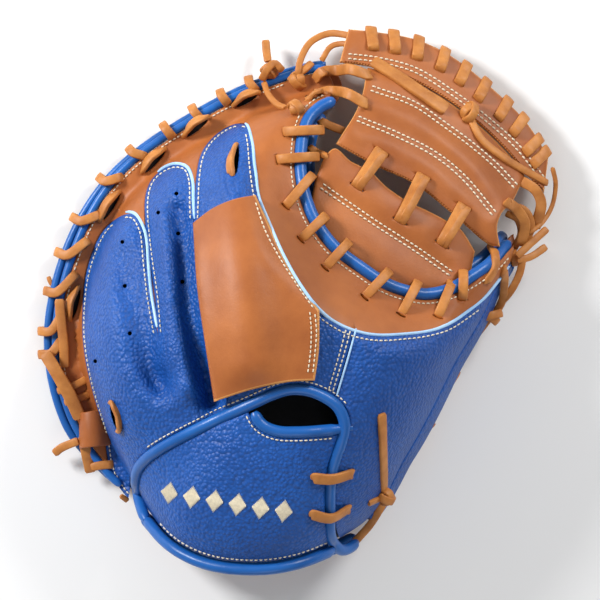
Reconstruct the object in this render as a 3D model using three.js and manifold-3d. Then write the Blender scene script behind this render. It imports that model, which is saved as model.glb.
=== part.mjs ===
// A catcher's mitt lying pocket down, with the back of the hand up.
// +Z is up, +Y points to the finger tips and +X to the thumb. Millimetres.
// The plan of every piece is a short table of shares of the mitt's width and length, measured from
// the middle of the palm. The heights come from two bowls: the back of the mitt and its pocket.
import * as THREE from 'three';
import { mergeVertices } from 'three/addons/utils/BufferGeometryUtils.js';
import Module from 'manifold-3d';

const wasm = await Module();
wasm.setup();

// Overall sizes
const MITT_WIDTH = 282;
const MITT_LENGTH = 303;
const CROWN_HEIGHT = 110;
const POCKET_DEPTH = 60;

// Leather, padding and bindings
const LEATHER = 2.6;
const PAD = 15;
const FLAP_PADDING = 2.4;
const RIM_HEIGHT = 11;
const PALM_EDGE = 4;
const BINDING = 7.6;
const WELT = 3.4;
const STRAP_BINDING = 6.4;
const PIPING = 2.6;
const CLEARANCE = 0.35;
const LAYER_GAP = 0.8;
const HIDDEN_GAP = 3;
const SEAM_GAP = 0.7;

// Laces
const LACE_WIDTH = 6;
const LACE_THICKNESS = 2.4;
const LACE_INSET = 6.9;
const SLOT_ROOM = 0.6;
const EDGE_ROOM = 1.7;
const EDGE_INSET = BINDING / 2 + EDGE_ROOM;
const WELT_INSET = WELT / 2 + SEAM_GAP;
const RIM_LACE_PITCH = 18.5;
const CROTCH_LACE_PITCH = 19;
const WEB_LACE_PITCH = 14;

// Web
const WEB_RADIUS = 0.585;
const WEB_EDGE_HEIGHT = 9;
const WEB_RISE = 60;
const WEB_THICKNESS = 4;
const WEB_BAR_THICKNESS = 6.5;

// Fineness of the faceted surfaces
const SPOKES = 44;
const BOWL_RINGS = [0.14, 0.3, 0.5, 0.74];
const TUBE_SIDES = 6;
const TUBE_STEP = 13;
const STALL_STEP = 9;
const CELL = 12;

// The rim, counter-clockwise from the thumb side. angle: degrees in the plan of shares.
// radius: share of the mitt. flange: flat edge as a share of MITT_WIDTH. back: height of the back
// leather's edge above RIM_HEIGHT and palm: the same for the palm's upper edge, as shares of
// CROWN_HEIGHT. full: how steeply the back rises behind its edge. welt: 1 where the leathers meet at
// a thin welt, 0 where the edge is bound or laced.
const RIM = [
  { angle: 8.9, radius: 0.39, flange: 0.004, back: 0.02, palm: 0.02, full: 2.3, welt: 1 },
  { angle: 20.2, radius: 0.469, flange: 0.006, back: 0.02, palm: 0.02, full: 1.7, welt: 0.4 },
  { angle: 34.9, radius: 0.472, flange: 0.012, back: 0, palm: 0, full: 1.5, welt: 0 },
  { angle: 50.2, radius: 0.474, flange: 0.02, back: 0, palm: 0, full: 1.5, welt: 0 },
  { angle: 66.3, radius: 0.486, flange: 0.03, back: 0, palm: 0, full: 1.45, welt: 0 },
  { angle: 81.5, radius: 0.499, flange: 0.036, back: 0, palm: 0, full: 1.4, welt: 0 },
  { angle: 99.6, radius: 0.468, flange: 0.038, back: 0, palm: 0, full: 1.4, welt: 0 },
  { angle: 120, radius: 0.453, flange: 0.038, back: 0, palm: 0, full: 1.4, welt: 0 },
  { angle: 144, radius: 0.473, flange: 0.038, back: 0, palm: 0, full: 1.5, welt: 0 },
  { angle: 165.2, radius: 0.484, flange: 0.038, back: 0, palm: 0, full: 1.8, welt: 0 },
  { angle: 182.5, radius: 0.496, flange: 0.038, back: 0, palm: 0, full: 2.1, welt: 0 },
  { angle: 198.9, radius: 0.493, flange: 0.042, back: 0, palm: 0, full: 2.2, welt: 0 },
  { angle: 214.1, radius: 0.476, flange: 0.03, back: 0, palm: 0, full: 2.3, welt: 0 },
  { angle: 223.6, radius: 0.463, flange: 0.01, back: 0.04, palm: 0.04, full: 2.2, welt: 0 },
  { angle: 236, radius: 0.471, flange: 0.006, back: 0.37, palm: 0.14, full: 1.8, welt: 0 },
  { angle: 245.2, radius: 0.466, flange: 0.006, back: 0.5, palm: 0.15, full: 1.6, welt: 0 },
  { angle: 256.4, radius: 0.448, flange: 0.006, back: 0.57, palm: 0.15, full: 1.5, welt: 0 },
  { angle: 267.4, radius: 0.429, flange: 0.006, back: 0.56, palm: 0.15, full: 1.5, welt: 0 },
  { angle: 275.9, radius: 0.414, flange: 0.006, back: 0.45, palm: 0.14, full: 1.7, welt: 0 },
  { angle: 283, radius: 0.405, flange: 0.006, back: 0.2, palm: 0.1, full: 2, welt: 0 },
  { angle: 291.3, radius: 0.385, flange: 0.005, back: 0.04, palm: 0.04, full: 2.3, welt: 0.6 },
  { angle: 312.7, radius: 0.319, flange: 0.004, back: 0.02, palm: 0.02, full: 2.5, welt: 1 },
  { angle: 345.8, radius: 0.315, flange: 0.004, back: 0.02, palm: 0.02, full: 2.5, welt: 1 },
];

// Plan outlines and lines, each a list of [share of MITT_WIDTH, share of MITT_LENGTH].
// The seams round the blue finger backs: the outer pair of fingers, the middle one and the index.
const STALL_SEAMS = [
  [
    [-0.332, -0.321], [-0.361, -0.287], [-0.377, -0.256], [-0.384, -0.223], [-0.388, -0.192],
    [-0.396, -0.158], [-0.411, -0.105], [-0.424, -0.04], [-0.43, 0.015], [-0.428, 0.082],
    [-0.41, 0.147], [-0.386, 0.187], [-0.352, 0.209], [-0.324, 0.209], [-0.306, 0.183],
    [-0.296, 0.123], [-0.287, 0.062], [-0.273, -0.005],
  ],
  [
    [-0.273, -0.005], [-0.28, 0.062], [-0.291, 0.123], [-0.301, 0.192], [-0.303, 0.243],
    [-0.293, 0.276], [-0.269, 0.296], [-0.244, 0.303], [-0.22, 0.296], [-0.209, 0.272],
    [-0.206, 0.236], [-0.204, 0.2],
  ],
  [
    [-0.204, 0.2], [-0.203, 0.236], [-0.202, 0.276], [-0.195, 0.318], [-0.177, 0.349],
    [-0.154, 0.368], [-0.127, 0.379], [-0.105, 0.376],
  ],
];
const THUMB_SEAM = [[0.104, 0.004], [0.088, -0.05], [0.062, -0.13]];
// The light piping: beside the index finger, round the crotch and along the thumb.
const PIPING_LINE = [
  [-0.154, 0.368], [-0.127, 0.379], [-0.105, 0.376], [-0.094, 0.349], [-0.088, 0.294],
  [-0.078, 0.236], [-0.059, 0.189], [-0.033, 0.134], [0, 0.08], [0.037, 0.036], [0.078, 0.009],
  [0.115, -0.004],
  [0.152, -0.009], [0.195, -0.007], [0.242, -0.002], [0.283, 0.009], [0.322, 0.031],
  [0.353, 0.053], [0.38, 0.082], [0.406, 0.113], [0.432, 0.14],
];
const OPENING_EDGE = [
  [-0.332, -0.321], [-0.326, -0.287], [-0.318, -0.258], [-0.3, -0.234], [-0.269, -0.212],
  [-0.183, -0.169], [-0.121, -0.142], [-0.076, -0.123], [-0.041, -0.109], [-0.006, -0.103],
  [0.031, -0.111], [0.062, -0.127], [0.082, -0.149], [0.084, -0.178], [0.074, -0.212],
  [0.062, -0.245], [0.057, -0.309], [0.062, -0.363], [0.078, -0.4], [0.09, -0.43],
];
const STRAP_TOP = [
  [-0.1, -0.12], [-0.074, -0.165], [-0.045, -0.178], [-0.006, -0.18], [0.05, -0.177], [0.1, -0.172],
];
const CROTCH_EDGE = [
  [0.066, 0.478], [0.078, 0.448], [0.066, 0.42], [0.039, 0.405], [0.018, 0.385], [0.008, 0.361],
  [0.002, 0.327], [0.002, 0.281],
  [0.012, 0.236], [0.033, 0.191], [0.07, 0.147], [0.121, 0.111], [0.164, 0.085], [0.205, 0.071],
  [0.244, 0.065], [0.291, 0.074], [0.332, 0.096], [0.373, 0.123], [0.4, 0.149], [0.423, 0.171],
];
const CROTCH_MOUTH = [[0.46, 0.19], [0.62, 0.3], [0.45, 0.62], [0.09, 0.62], [0.08, 0.5]];
// How far the palm side of the crotch reaches further than the back, in binding widths.
const PALM_TUCK = 0.6;
const INDEX_PAD = {
  top: [[-0.206, 0.192], [-0.168, 0.218], [-0.127, 0.234], [-0.085, 0.242]],
  right: [[-0.085, 0.242], [-0.059, 0.189], [-0.033, 0.134], [0, 0.08], [0.037, 0.036]],
  side: [[0.037, 0.036], [0.036, -0.033], [0.028, -0.088]],
  bottom: [[0.028, -0.088], [-0.018, -0.09], [-0.088, -0.103], [-0.164, -0.126]],
  left: [[-0.164, -0.126], [-0.183, -0.009], [-0.196, 0.073], [-0.206, 0.192]],
};
// The web: an edge bar with a laced outer edge, and two panels below it. The upper panel starts a
// little under the bar's lower edge.
const WEB_EDGE = [
  [0.492, 0.318], [0.449, 0.381], [0.38, 0.445], [0.298, 0.505], [0.228, 0.535], [0.15, 0.548],
  [0.096, 0.553],
];
const WEB_SEAM = [
  [0.078, 0.49], [0.13, 0.484], [0.195, 0.468], [0.26, 0.44], [0.335, 0.392], [0.404, 0.333],
  [0.448, 0.285], [0.482, 0.252],
];
const WEB_BAR_ENDS = { left: [[0.096, 0.553], [0.078, 0.49]], right: [[0.482, 0.252], [0.492, 0.318]] };
const WEB_UPPER = {
  right: [[0.443, 0.282], [0.417, 0.234], [0.396, 0.214], [0.386, 0.189], [0.392, 0.152]],
  bottom: [
    [0.392, 0.152], [0.373, 0.154], [0.298, 0.211], [0.224, 0.265], [0.148, 0.298], [0.07, 0.338],
  ],
  left: [[0.07, 0.338], [0.111, 0.401], [0.125, 0.44], [0.13, 0.476]],
};
const WEB_LOWER = {
  top: [
    [0.047, 0.314], [0.068, 0.33], [0.098, 0.307], [0.138, 0.287], [0.168, 0.26], [0.209, 0.234],
    [0.254, 0.214], [0.287, 0.198], [0.314, 0.183], [0.342, 0.143],
  ],
  right: [[0.342, 0.143], [0.332, 0.098]],
  bottom: [
    [0.332, 0.098], [0.291, 0.077], [0.244, 0.068], [0.205, 0.074], [0.164, 0.088], [0.121, 0.114],
    [0.071, 0.15], [0.035, 0.193], [0.02, 0.227],
  ],
  left: [[0.02, 0.227], [0.029, 0.269], [0.047, 0.314]],
};

// Swells and hollows of the back: a line from [x0, y0] to [x1, y1] in shares, its half width as a
// share of MITT_WIDTH and its height as a share of CROWN_HEIGHT.
const BACK_RELIEF = [
  { name: 'little finger', from: [-0.375, 0.17], to: [-0.34, -0.15], width: 0.055, height: 0.05 },
  { name: 'between ring and middle', from: [-0.292, 0.17], to: [-0.255, -0.08], width: 0.034, height: -0.07 },
  { name: 'middle finger', from: [-0.25, 0.26], to: [-0.215, -0.1], width: 0.032, height: 0.05 },
  { name: 'beside the pad', from: [-0.208, 0.18], to: [-0.172, -0.11], width: 0.034, height: -0.06 },
  { name: 'index finger', from: [-0.14, 0.32], to: [-0.09, -0.05], width: 0.05, height: 0.06 },
  { name: 'thumb', from: [0.32, 0.04], to: [0.13, -0.16], width: 0.08, height: 0.04 },
];
const WEB_RELIEF = [
  { name: 'upper roll', from: [0.12, 0.41], to: [0.41, 0.24], width: 0.03, height: 0.03 },
  { name: 'lower roll', from: [0.09, 0.355], to: [0.39, 0.18], width: 0.026, height: 0.03 },
];
// Where the hand goes: capsules from [x0, y0] to [x1, y1] in shares, radius a share of MITT_WIDTH.
const HAND = [
  { name: 'wrist', from: [-0.11, -0.5], to: [-0.11, -0.3], radius: 0.2 },
  { name: 'palm', from: [-0.12, -0.25], to: [-0.08, -0.08], radius: 0.2 },
  { name: 'ring and little finger', from: [-0.31, -0.08], to: [-0.36, 0.13], radius: 0.052 },
  { name: 'middle finger', from: [-0.22, -0.02], to: [-0.25, 0.24], radius: 0.042 },
  { name: 'index finger', from: [-0.1, 0], to: [-0.145, 0.31], radius: 0.045 },
  { name: 'thumb', from: [0.05, -0.16], to: [0.27, -0.01], radius: 0.06 },
];
const HAND_SOFTNESS = 0.035;

// Short laces that lie over the leather with both ends down a slot. The surfaces are the ones that
// the ends go into.
const TIES = [
  { name: 'index_tie', from: [-0.125, 0.334], to: [-0.127, 0.281], surfaces: ['back', 'back'] },
  { name: 'little_finger_tie', from: [-0.363, -0.13], to: [-0.353, -0.182], surfaces: ['back', 'back'] },
  { name: 'strap_tie_1', from: [0.026, -0.257], to: [0.094, -0.255], surfaces: ['back', 'back'] },
  { name: 'strap_tie_2', from: [0.018, -0.325], to: [0.094, -0.335], surfaces: ['back', 'back'] },
  { name: 'web_tie_1', from: [0.156, 0.323], to: [0.112, 0.26], surfaces: ['web', 'web'] },
  { name: 'web_tie_2', from: [0.238, 0.276], to: [0.196, 0.2], surfaces: ['web', 'web'] },
  { name: 'web_tie_3', from: [0.318, 0.222], to: [0.278, 0.158], surfaces: ['web', 'web'] },
  { name: 'web_bar_tie', from: [0.33, 0.36], to: [0.372, 0.39], surfaces: ['web', 'bar'] },
  { name: 'side_tie_1', from: [0.033, 0.466], to: [0.126, 0.503], surfaces: ['back', 'bar'] },
  { name: 'side_tie_2', from: [0.006, 0.43], to: [0.135, 0.43], surfaces: ['back', 'web'] },
  { name: 'thumb_tie_1', from: [0.337, 0.066], to: [0.392, 0.264], surfaces: ['back', 'web'] },
  { name: 'thumb_tie_2', from: [0.364, 0.083], to: [0.472, 0.297], surfaces: ['back', 'bar'] },
];
// Short laces along the finger side's flat edge, between two angles of the rim.
const FLANGE_TIE_INSET = 0.0415;
const FLANGE_TIES = [
  { name: 'finger_tie_1', from: 174.5, to: 182 },
  { name: 'finger_tie_2', from: 143, to: 150 },
  { name: 'finger_tie_3', from: 130, to: 137 },
  { name: 'finger_tie_4', from: 115, to: 122.5 },
  { name: 'finger_tie_5', from: 101, to: 107.5 },
];
// Laces that lie along the back leather, with a knot part of the way.
const KNOTTED = [
  {
    name: 'heel_lace', knot: 0.66,
    path: [[0.155, -0.15], [0.157, -0.2], [0.153, -0.25], [0.145, -0.29], [0.128, -0.32], [0.11, -0.345]],
  },
  {
    name: 'thumb_lace', knot: 0.22,
    path: [[0.34, 0.02], [0.325, -0.002], [0.3, -0.03], [0.268, -0.07], [0.243, -0.11], [0.225, -0.15]],
  },
];

const at = ([u, v]) => new THREE.Vector2(u * MITT_WIDTH, v * MITT_LENGTH);
const { lerp, clamp } = THREE.MathUtils;
const smooth = (x) => THREE.MathUtils.smoothstep(x, 0, 1);
const UP = new THREE.Vector3(0, 0, 1);

// A smooth plan curve through shares, as evenly spaced points in millimetres.
function planCurve(shares, step, closed = false) {
  const points = shares.map(at).map((p) => new THREE.Vector3(p.x, p.y, 0));
  const curve = new THREE.CatmullRomCurve3(points, closed, 'centripetal');
  const count = Math.ceil(curve.getLength() / step);
  const made = curve.getSpacedPoints(count).map((p) => new THREE.Vector2(p.x, p.y));
  return closed ? made.slice(0, count) : made;
}

// An outline with corners where its sides meet, each side smooth.
const cornered = (sides, step) => Object.values(sides).flatMap((side) => planCurve(side, step).slice(0, -1));

// One column of the rim table at an angle in degrees, smooth between its rows.
function rimValue(angle, column) {
  const turn = (from, to) => (((to - from) % 360) + 360) % 360;
  const row = (k) => RIM[(k + RIM.length) % RIM.length];
  const next = RIM.findIndex((r) => r.angle > turn(0, angle));
  const i = next < 0 ? 0 : next;
  const [before, low, high, after] = [row(i - 2), row(i - 1), row(i), row(i + 1)];
  const h = turn(low.angle, high.angle);
  const t = turn(low.angle, angle) / h;
  const slopeIn = (high[column] - before[column]) / turn(before.angle, high.angle);
  const slopeOut = (after[column] - low[column]) / turn(low.angle, after.angle);
  return (2 * t ** 3 - 3 * t ** 2 + 1) * low[column]
    + (t ** 3 - 2 * t ** 2 + t) * h * slopeIn
    + (3 * t ** 2 - 2 * t ** 3) * high[column]
    + (t ** 3 - t ** 2) * h * slopeOut;
}

// The lip of the pocket, which rests on the ground: where it starts within the rim, more where the
// palm's edge is higher, and how wide it is flat. Shares of MITT_WIDTH.
const LIP_START = 0.064;
const LIP_WIDTH = 0.032;
const LIP_SLOPE = 0.6;

// How far within the rim the leathers end.
const edgeAt = (angle) => lerp(EDGE_INSET, WELT_INSET, clamp(rimValue(angle, 'welt'), 0, 1));

// The rim in the direction of a plan point. reach: its distance from the middle. inside: how far
// within it the point is. edge: how far within it the leathers end. back and palm: heights of the two
// leathers' edges there. lip: where the pocket's lip starts.
function rimAt(x, y) {
  const u = x / MITT_WIDTH;
  const v = y / MITT_LENGTH;
  const angle = THREE.MathUtils.radToDeg(Math.atan2(v, u));
  const share = Math.hypot(u, v);
  const radius = rimValue(angle, 'radius');
  const unit = share > 0 ? Math.hypot(x, y) / share : MITT_WIDTH;
  const edge = edgeAt(angle);
  return {
    reach: radius * unit,
    inside: (radius - share) * unit,
    edge,
    flange: rimValue(angle, 'flange') * MITT_WIDTH + edge - EDGE_ROOM,
    back: RIM_HEIGHT + rimValue(angle, 'back') * CROWN_HEIGHT,
    palm: RIM_HEIGHT + rimValue(angle, 'palm') * CROWN_HEIGHT - LAYER_GAP,
    full: rimValue(angle, 'full'),
    lip: LIP_START * MITT_WIDTH + LIP_SLOPE * rimValue(angle, 'palm') * CROWN_HEIGHT,
  };
}

// Points along the rim between two angles. inset(angle) is how far within it they lie.
function rimCurve(from, to, step, inset = () => 0) {
  const points = [];
  for (let angle = from; angle <= to; angle += 1) {
    const a = THREE.MathUtils.degToRad(angle);
    const radius = rimValue(angle, 'radius') - inset(angle) / MITT_WIDTH;
    points.push([radius * Math.cos(a), radius * Math.sin(a)]);
  }
  return planCurve(points, step);
}

function segmentDistance(x, y, from, to) {
  const a = at(from);
  const d = at(to).sub(a);
  const t = clamp(((x - a.x) * d.x + (y - a.y) * d.y) / d.lengthSq(), 0, 1);
  return Math.hypot(x - a.x - t * d.x, y - a.y - t * d.y);
}
function relief(x, y, rows) {
  return rows.reduce((sum, row) => {
    const d = segmentDistance(x, y, row.from, row.to) / (row.width * MITT_WIDTH);
    return sum + row.height * CROWN_HEIGHT * Math.exp(-d * d);
  }, 0);
}

const crotch = planCurve(CROTCH_EDGE, TUBE_STEP);
const crotchFine = planCurve(CROTCH_EDGE, 2);
const crotchDistance = (x, y) => crotchFine.reduce(
  (least, p) => Math.min(least, Math.hypot(x - p.x, y - p.y)), Infinity,
);
// 1 at the crotch binding, falling to 0 at a share of the mitt's width from it.
const crotchShare = (x, y, from, to) => smooth(
  (to * MITT_WIDTH - crotchDistance(x, y)) / ((to - from) * MITT_WIDTH),
);

// The web's underside: part of a wide bowl that comes down to the web's outer edge.
function webHeight(x, y) {
  const share = Math.min(1, Math.hypot(x / MITT_WIDTH, y / MITT_LENGTH) / WEB_RADIUS);
  return WEB_EDGE_HEIGHT + WEB_RISE * (1 - share * share) ** 1.15;
}
const webTop = (x, y) => webHeight(x, y) + WEB_THICKNESS + relief(x, y, WEB_RELIEF);
const barTop = (x, y) => webHeight(x, y) + WEB_BAR_THICKNESS;

// Middle of the crotch's bindings: the back one over the web, the palm one under it.
const CROTCH_CLIMB = 0.08;
function crotchBackHeight(x, y) {
  const over = webHeight(x, y) + WEB_THICKNESS + CLEARANCE + BINDING / 2;
  const climb = smooth(rimAt(x, y).inside / (CROTCH_CLIMB * MITT_WIDTH));
  return lerp(RIM_HEIGHT, over, climb);
}
const crotchLayer = WEB_THICKNESS + BINDING + 2 * LACE_THICKNESS + 4 * CLEARANCE;
const crotchPalmHeight = (x, y) => crotchBackHeight(x, y) - crotchLayer;

// Top of the back leather: an edge, then a dome that drops again to the crotch.
const DOME_POWER = 2.2;
const CROTCH_BLEND = 0.13;
function backHeight(x, y) {
  const rim = rimAt(x, y);
  const edge = rim.back + LEATHER;
  const depth = clamp((rim.inside - rim.flange) / (rim.reach - rim.flange), 0, 1);
  const dome = (1 - (1 - depth) ** DOME_POWER) ** (1 / rim.full);
  const swell = relief(x, y, BACK_RELIEF) * smooth(depth * 6);
  const plain = edge + (CROWN_HEIGHT - edge) * dome + swell;
  const pull = crotchShare(x, y, 0, CROTCH_BLEND) * smooth(depth * 5);
  return lerp(plain, crotchBackHeight(x, y) + LEATHER / 2, pull);
}

// How much longer an upright measure is than one across the surface.
const MOST_SLOPE = 3;
function slope(x, y, height) {
  const h = 0.5;
  const gx = (height(x + h, y) - height(x - h, y)) / (2 * h);
  const gy = (height(x, y + h) - height(x, y - h)) / (2 * h);
  return Math.min(Math.hypot(1, gx, gy), MOST_SLOPE);
}
const backUnder = (x, y) => Math.max(
  backHeight(x, y) - LEATHER * slope(x, y, backHeight), Math.min(rimAt(x, y).back, backHeight(x, y) - LEATHER),
);
// A point lifted off the back leather, and the way that the leather faces there.
function offBack(x, y, lift) {
  const h = 1;
  const gx = (backHeight(x + h, y) - backHeight(x - h, y)) / (2 * h);
  const gy = (backHeight(x, y + h) - backHeight(x, y - h)) / (2 * h);
  const face = new THREE.Vector3(-gx, -gy, 1).normalize();
  return { face, point: new THREE.Vector3(x, y, backHeight(x, y)).addScaledVector(face, lift) };
}

// The pocket: the palm's edge, a flat lip that rests on the ground, then a bowl.
function pocketHeight(x, y) {
  const rim = rimAt(x, y);
  const edge = LACE_INSET + LACE_WIDTH / 2;
  const lipEnd = rim.lip + LIP_WIDTH * MITT_WIDTH;
  const fall = smooth((rim.inside - edge) / (rim.lip - edge));
  const depth = clamp((rim.inside - lipEnd) / (rim.reach - lipEnd), 0, 1);
  const bowl = POCKET_DEPTH * (1 - (1 - depth) ** 2.1);
  const plain = (rim.palm - PALM_EDGE) * (1 - fall) + bowl;
  const pull = crotchShare(x, y, 0.03, CROTCH_BLEND) * smooth(depth * 5);
  return lerp(plain, crotchPalmHeight(x, y) - PALM_EDGE / 2, pull);
}

// How far the hand's space is open at a plan point, from 0 to 1.
function handShare(x, y) {
  return HAND.reduce((most, part) => {
    const within = part.radius * MITT_WIDTH - segmentDistance(x, y, part.from, part.to);
    return Math.max(most, smooth(within / (HAND_SOFTNESS * MITT_WIDTH)));
  }, 0);
}

// Top of the palm's padding: against the back leather, or lower down where the hand goes.
function palmHeight(x, y) {
  const rim = rimAt(x, y);
  const deep = smooth((rim.inside - rim.flange) / (LIP_START * MITT_WIDTH));
  const packed = backUnder(x, y) - lerp(LAYER_GAP, HIDDEN_GAP, deep);
  const edged = Math.min(packed, lerp(rim.palm, packed, smooth((rim.inside - rim.flange) / LEATHER)));
  const bed = Math.max(rim.palm, pocketHeight(x, y) + PAD);
  const open = lerp(edged, Math.min(edged, bed), handShare(x, y));
  const pull = crotchShare(x, y, 0.05, 0.1) * smooth(rim.inside / LACE_INSET - 1);
  const top = lerp(open, Math.min(open, crotchPalmHeight(x, y) + PALM_EDGE / 2), pull);
  return Math.max(top, pocketHeight(x, y) + PALM_EDGE);
}

// A solid for cutting and joining from a closed surface, and back.
function solidOf(geometry) {
  const bare = geometry.index ? geometry.toNonIndexed() : geometry;
  const position = new THREE.BufferGeometry().setAttribute('position', bare.getAttribute('position'));
  const merged = mergeVertices(position, 1e-4);
  return new wasm.Manifold(new wasm.Mesh({
    numProp: 3,
    vertProperties: merged.attributes.position.array,
    triVerts: new Uint32Array(merged.index.array),
  }));
}
function geometryOf(solid) {
  const mesh = solid.getMesh();
  const geometry = new THREE.BufferGeometry();
  geometry.setAttribute('position', new THREE.BufferAttribute(new Float32Array(mesh.vertProperties), 3));
  geometry.setIndex(new THREE.BufferAttribute(new Uint32Array(mesh.triVerts), 1));
  return geometry;
}

// Flat slabs are cut from above by upright tools and lifted afterwards.
const SLAB = 10;
const TOOL = 3 * SLAB;
function prism(outline) {
  const geometry = new THREE.ExtrudeGeometry(new THREE.Shape(outline), { depth: TOOL, bevelEnabled: false });
  return solidOf(geometry.translate(0, 0, SLAB / 2 - TOOL / 2));
}
const cutBy = (slab, tools) => (tools.length ? slab.subtract(wasm.Manifold.union(tools)) : slab);

// The separate piece of a cut slab that a plan point lies on.
function pieceAt(slab, share) {
  const p = at(share);
  const pin = solidOf(new THREE.BoxGeometry(1, 1, TOOL).translate(p.x, p.y, SLAB / 2));
  return slab.decompose().find((piece) => piece.intersect(pin).volume() > 0);
}

// A slab of rings and spokes that follow the rim.
function rimSlab() {
  const spoke = (k) => {
    const angle = (k / SPOKES) * 2 * Math.PI;
    const [dx, dy] = [Math.cos(angle) * MITT_WIDTH, Math.sin(angle) * MITT_LENGTH];
    const unit = Math.hypot(dx, dy);
    const rim = rimAt(dx, dy);
    const flat = Math.max(rim.flange, rim.edge + LEATHER);
    const lipEnd = rim.lip + LIP_WIDTH * MITT_WIDTH;
    const insides = [
      rim.edge, flat, lerp(flat, rim.lip, 0.5), rim.lip, lipEnd,
      ...BOWL_RINGS.map((share) => lerp(lipEnd, rim.reach, share)),
    ];
    return insides.map((inside) => [(dx * (rim.reach - inside)) / unit, (dy * (rim.reach - inside)) / unit]);
  };
  const spokes = Array.from({ length: SPOKES }, (_, k) => spoke(k));
  const count = spokes[0].length;
  const layer = SPOKES * count + 1;
  const position = [SLAB, 0].flatMap((z) => [...spokes.flat(), [0, 0]].flatMap(([x, y]) => [x, y, z]));
  const id = (k, j) => (k % SPOKES) * count + j;
  const index = [];
  const face = (a, b, c) => index.push(a, b, c, a + layer, c + layer, b + layer);
  for (let k = 0; k < SPOKES; k += 1) {
    for (let j = 0; j + 1 < count; j += 1) {
      face(id(k, j), id(k + 1, j), id(k + 1, j + 1));
      face(id(k, j), id(k + 1, j + 1), id(k, j + 1));
    }
    face(id(k, count - 1), id(k + 1, count - 1), layer - 1);
    index.push(id(k, 0), id(k, 0) + layer, id(k + 1, 0) + layer);
    index.push(id(k, 0), id(k + 1, 0) + layer, id(k + 1, 0));
  }
  const geometry = new THREE.BufferGeometry();
  geometry.setAttribute('position', new THREE.Float32BufferAttribute(position, 3));
  return solidOf(geometry.setIndex(index));
}

// A slab of square cells over the web, turned to lie along its bars.
const WEB_TURN = -35;
const WEB_MIDDLE = [0.29, 0.3];
const WEB_REACH = 0.42;
function webSlab() {
  const side = 2 * WEB_REACH * MITT_WIDTH;
  const cells = Math.round(side / CELL);
  const middle = at(WEB_MIDDLE);
  const geometry = new THREE.BoxGeometry(side, side, SLAB, cells, cells, 1);
  geometry.rotateZ(THREE.MathUtils.degToRad(WEB_TURN));
  return solidOf(geometry.translate(middle.x, middle.y, SLAB / 2));
}

// Lifts a flat slab: its lower face goes to low(x, y) and its upper face to high(x, y).
function lifted(slab, low, high) {
  const geometry = geometryOf(slab);
  const p = geometry.getAttribute('position');
  for (let i = 0; i < p.count; i += 1) {
    const height = p.getZ(i) > SLAB / 2 ? high : low;
    p.setZ(i, height(p.getX(i), p.getY(i)));
  }
  return solidOf(geometry);
}

// A closed skin over rings of points, capped at both ends.
function skin(rings) {
  const sides = rings[0].length;
  const position = rings.flat().flatMap((p) => [p.x, p.y, p.z]);
  const id = (i, j) => i * sides + (j % sides);
  const index = [];
  for (let i = 0; i + 1 < rings.length; i += 1) {
    for (let j = 0; j < sides; j += 1) {
      index.push(id(i, j), id(i, j + 1), id(i + 1, j + 1), id(i, j), id(i + 1, j + 1), id(i + 1, j));
    }
  }
  const last = rings.length - 1;
  for (let j = 1; j + 1 < sides; j += 1) {
    index.push(id(0, 0), id(0, j + 1), id(0, j), id(last, 0), id(last, j), id(last, j + 1));
  }
  const geometry = new THREE.BufferGeometry();
  geometry.setAttribute('position', new THREE.Float32BufferAttribute(position, 3));
  return solidOf(geometry.setIndex(index));
}

// Sweeps a section along points. faces lists the way that the section's second axis looks at each.
function sweep(points, faces, section) {
  return skin(points.map((p, i) => {
    const before = points[Math.max(i - 1, 0)];
    const after = points[Math.min(i + 1, points.length - 1)];
    const along = after.clone().sub(before).normalize();
    const face = faces[i].clone().addScaledVector(along, -faces[i].dot(along)).normalize();
    const side = face.clone().cross(along);
    return section.map(([a, b]) => p.clone().addScaledVector(side, a).addScaledVector(face, b));
  }));
}
const roundSection = (diameter) => Array.from({ length: TUBE_SIDES }, (_, j) => {
  const a = ((j + 0.5) / TUBE_SIDES) * 2 * Math.PI;
  return [(diameter / 2) * Math.cos(a), (diameter / 2) * Math.sin(a)];
});
const flatSection = (width, thickness) => [
  [-width / 2, -thickness / 2], [width / 2, -thickness / 2],
  [width / 2, thickness / 2], [-width / 2, thickness / 2],
];
// A lace, and the space that what it passes through leaves for it.
const laceSolids = (points, faces) => ({
  body: sweep(points, faces, flatSection(LACE_WIDTH, LACE_THICKNESS)),
  space: sweep(points, faces, flatSection(LACE_WIDTH + 2 * CLEARANCE, LACE_THICKNESS + 2 * CLEARANCE)),
});

// A round tube over a plan curve, with its middle at height(x, y).
function tube(curve, height, diameter) {
  const points = curve.map((p) => new THREE.Vector3(p.x, p.y, height(p.x, p.y)));
  return sweep(points, points.map(() => UP), roundSection(diameter));
}

// An upright wall along a plan curve, for cutting a seam of a given width.
function seamTool(curve, width) {
  const points = curve.map((p) => new THREE.Vector3(p.x, p.y, SLAB / 2));
  return sweep(points, points.map(() => UP), flatSection(width, TOOL));
}

// A plan curve moved to its left.
function offsetCurve(curve, distance) {
  return curve.map((p, i) => {
    const before = curve[Math.max(i - 1, 0)];
    const along = curve[Math.min(i + 1, curve.length - 1)].clone().sub(before).normalize();
    return new THREE.Vector2(p.x - along.y * distance, p.y + along.x * distance);
  });
}
const curveLength = (curve) => curve.reduce((sum, p, i) => sum + (i ? p.distanceTo(curve[i - 1]) : 0), 0);
const inRim = (curve, least) => curve.filter((p) => rimAt(p.x, p.y).inside > least);

// A slot for a lace that comes up through a slab and goes on in the direction along.
function slotTool(p, along) {
  const geometry = new THREE.BoxGeometry(LACE_THICKNESS + 2 * SLOT_ROOM, LACE_WIDTH + 2 * SLOT_ROOM, TOOL);
  geometry.rotateZ(Math.atan2(along.y, along.x));
  return solidOf(geometry.translate(p.x, p.y, SLAB / 2));
}

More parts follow.
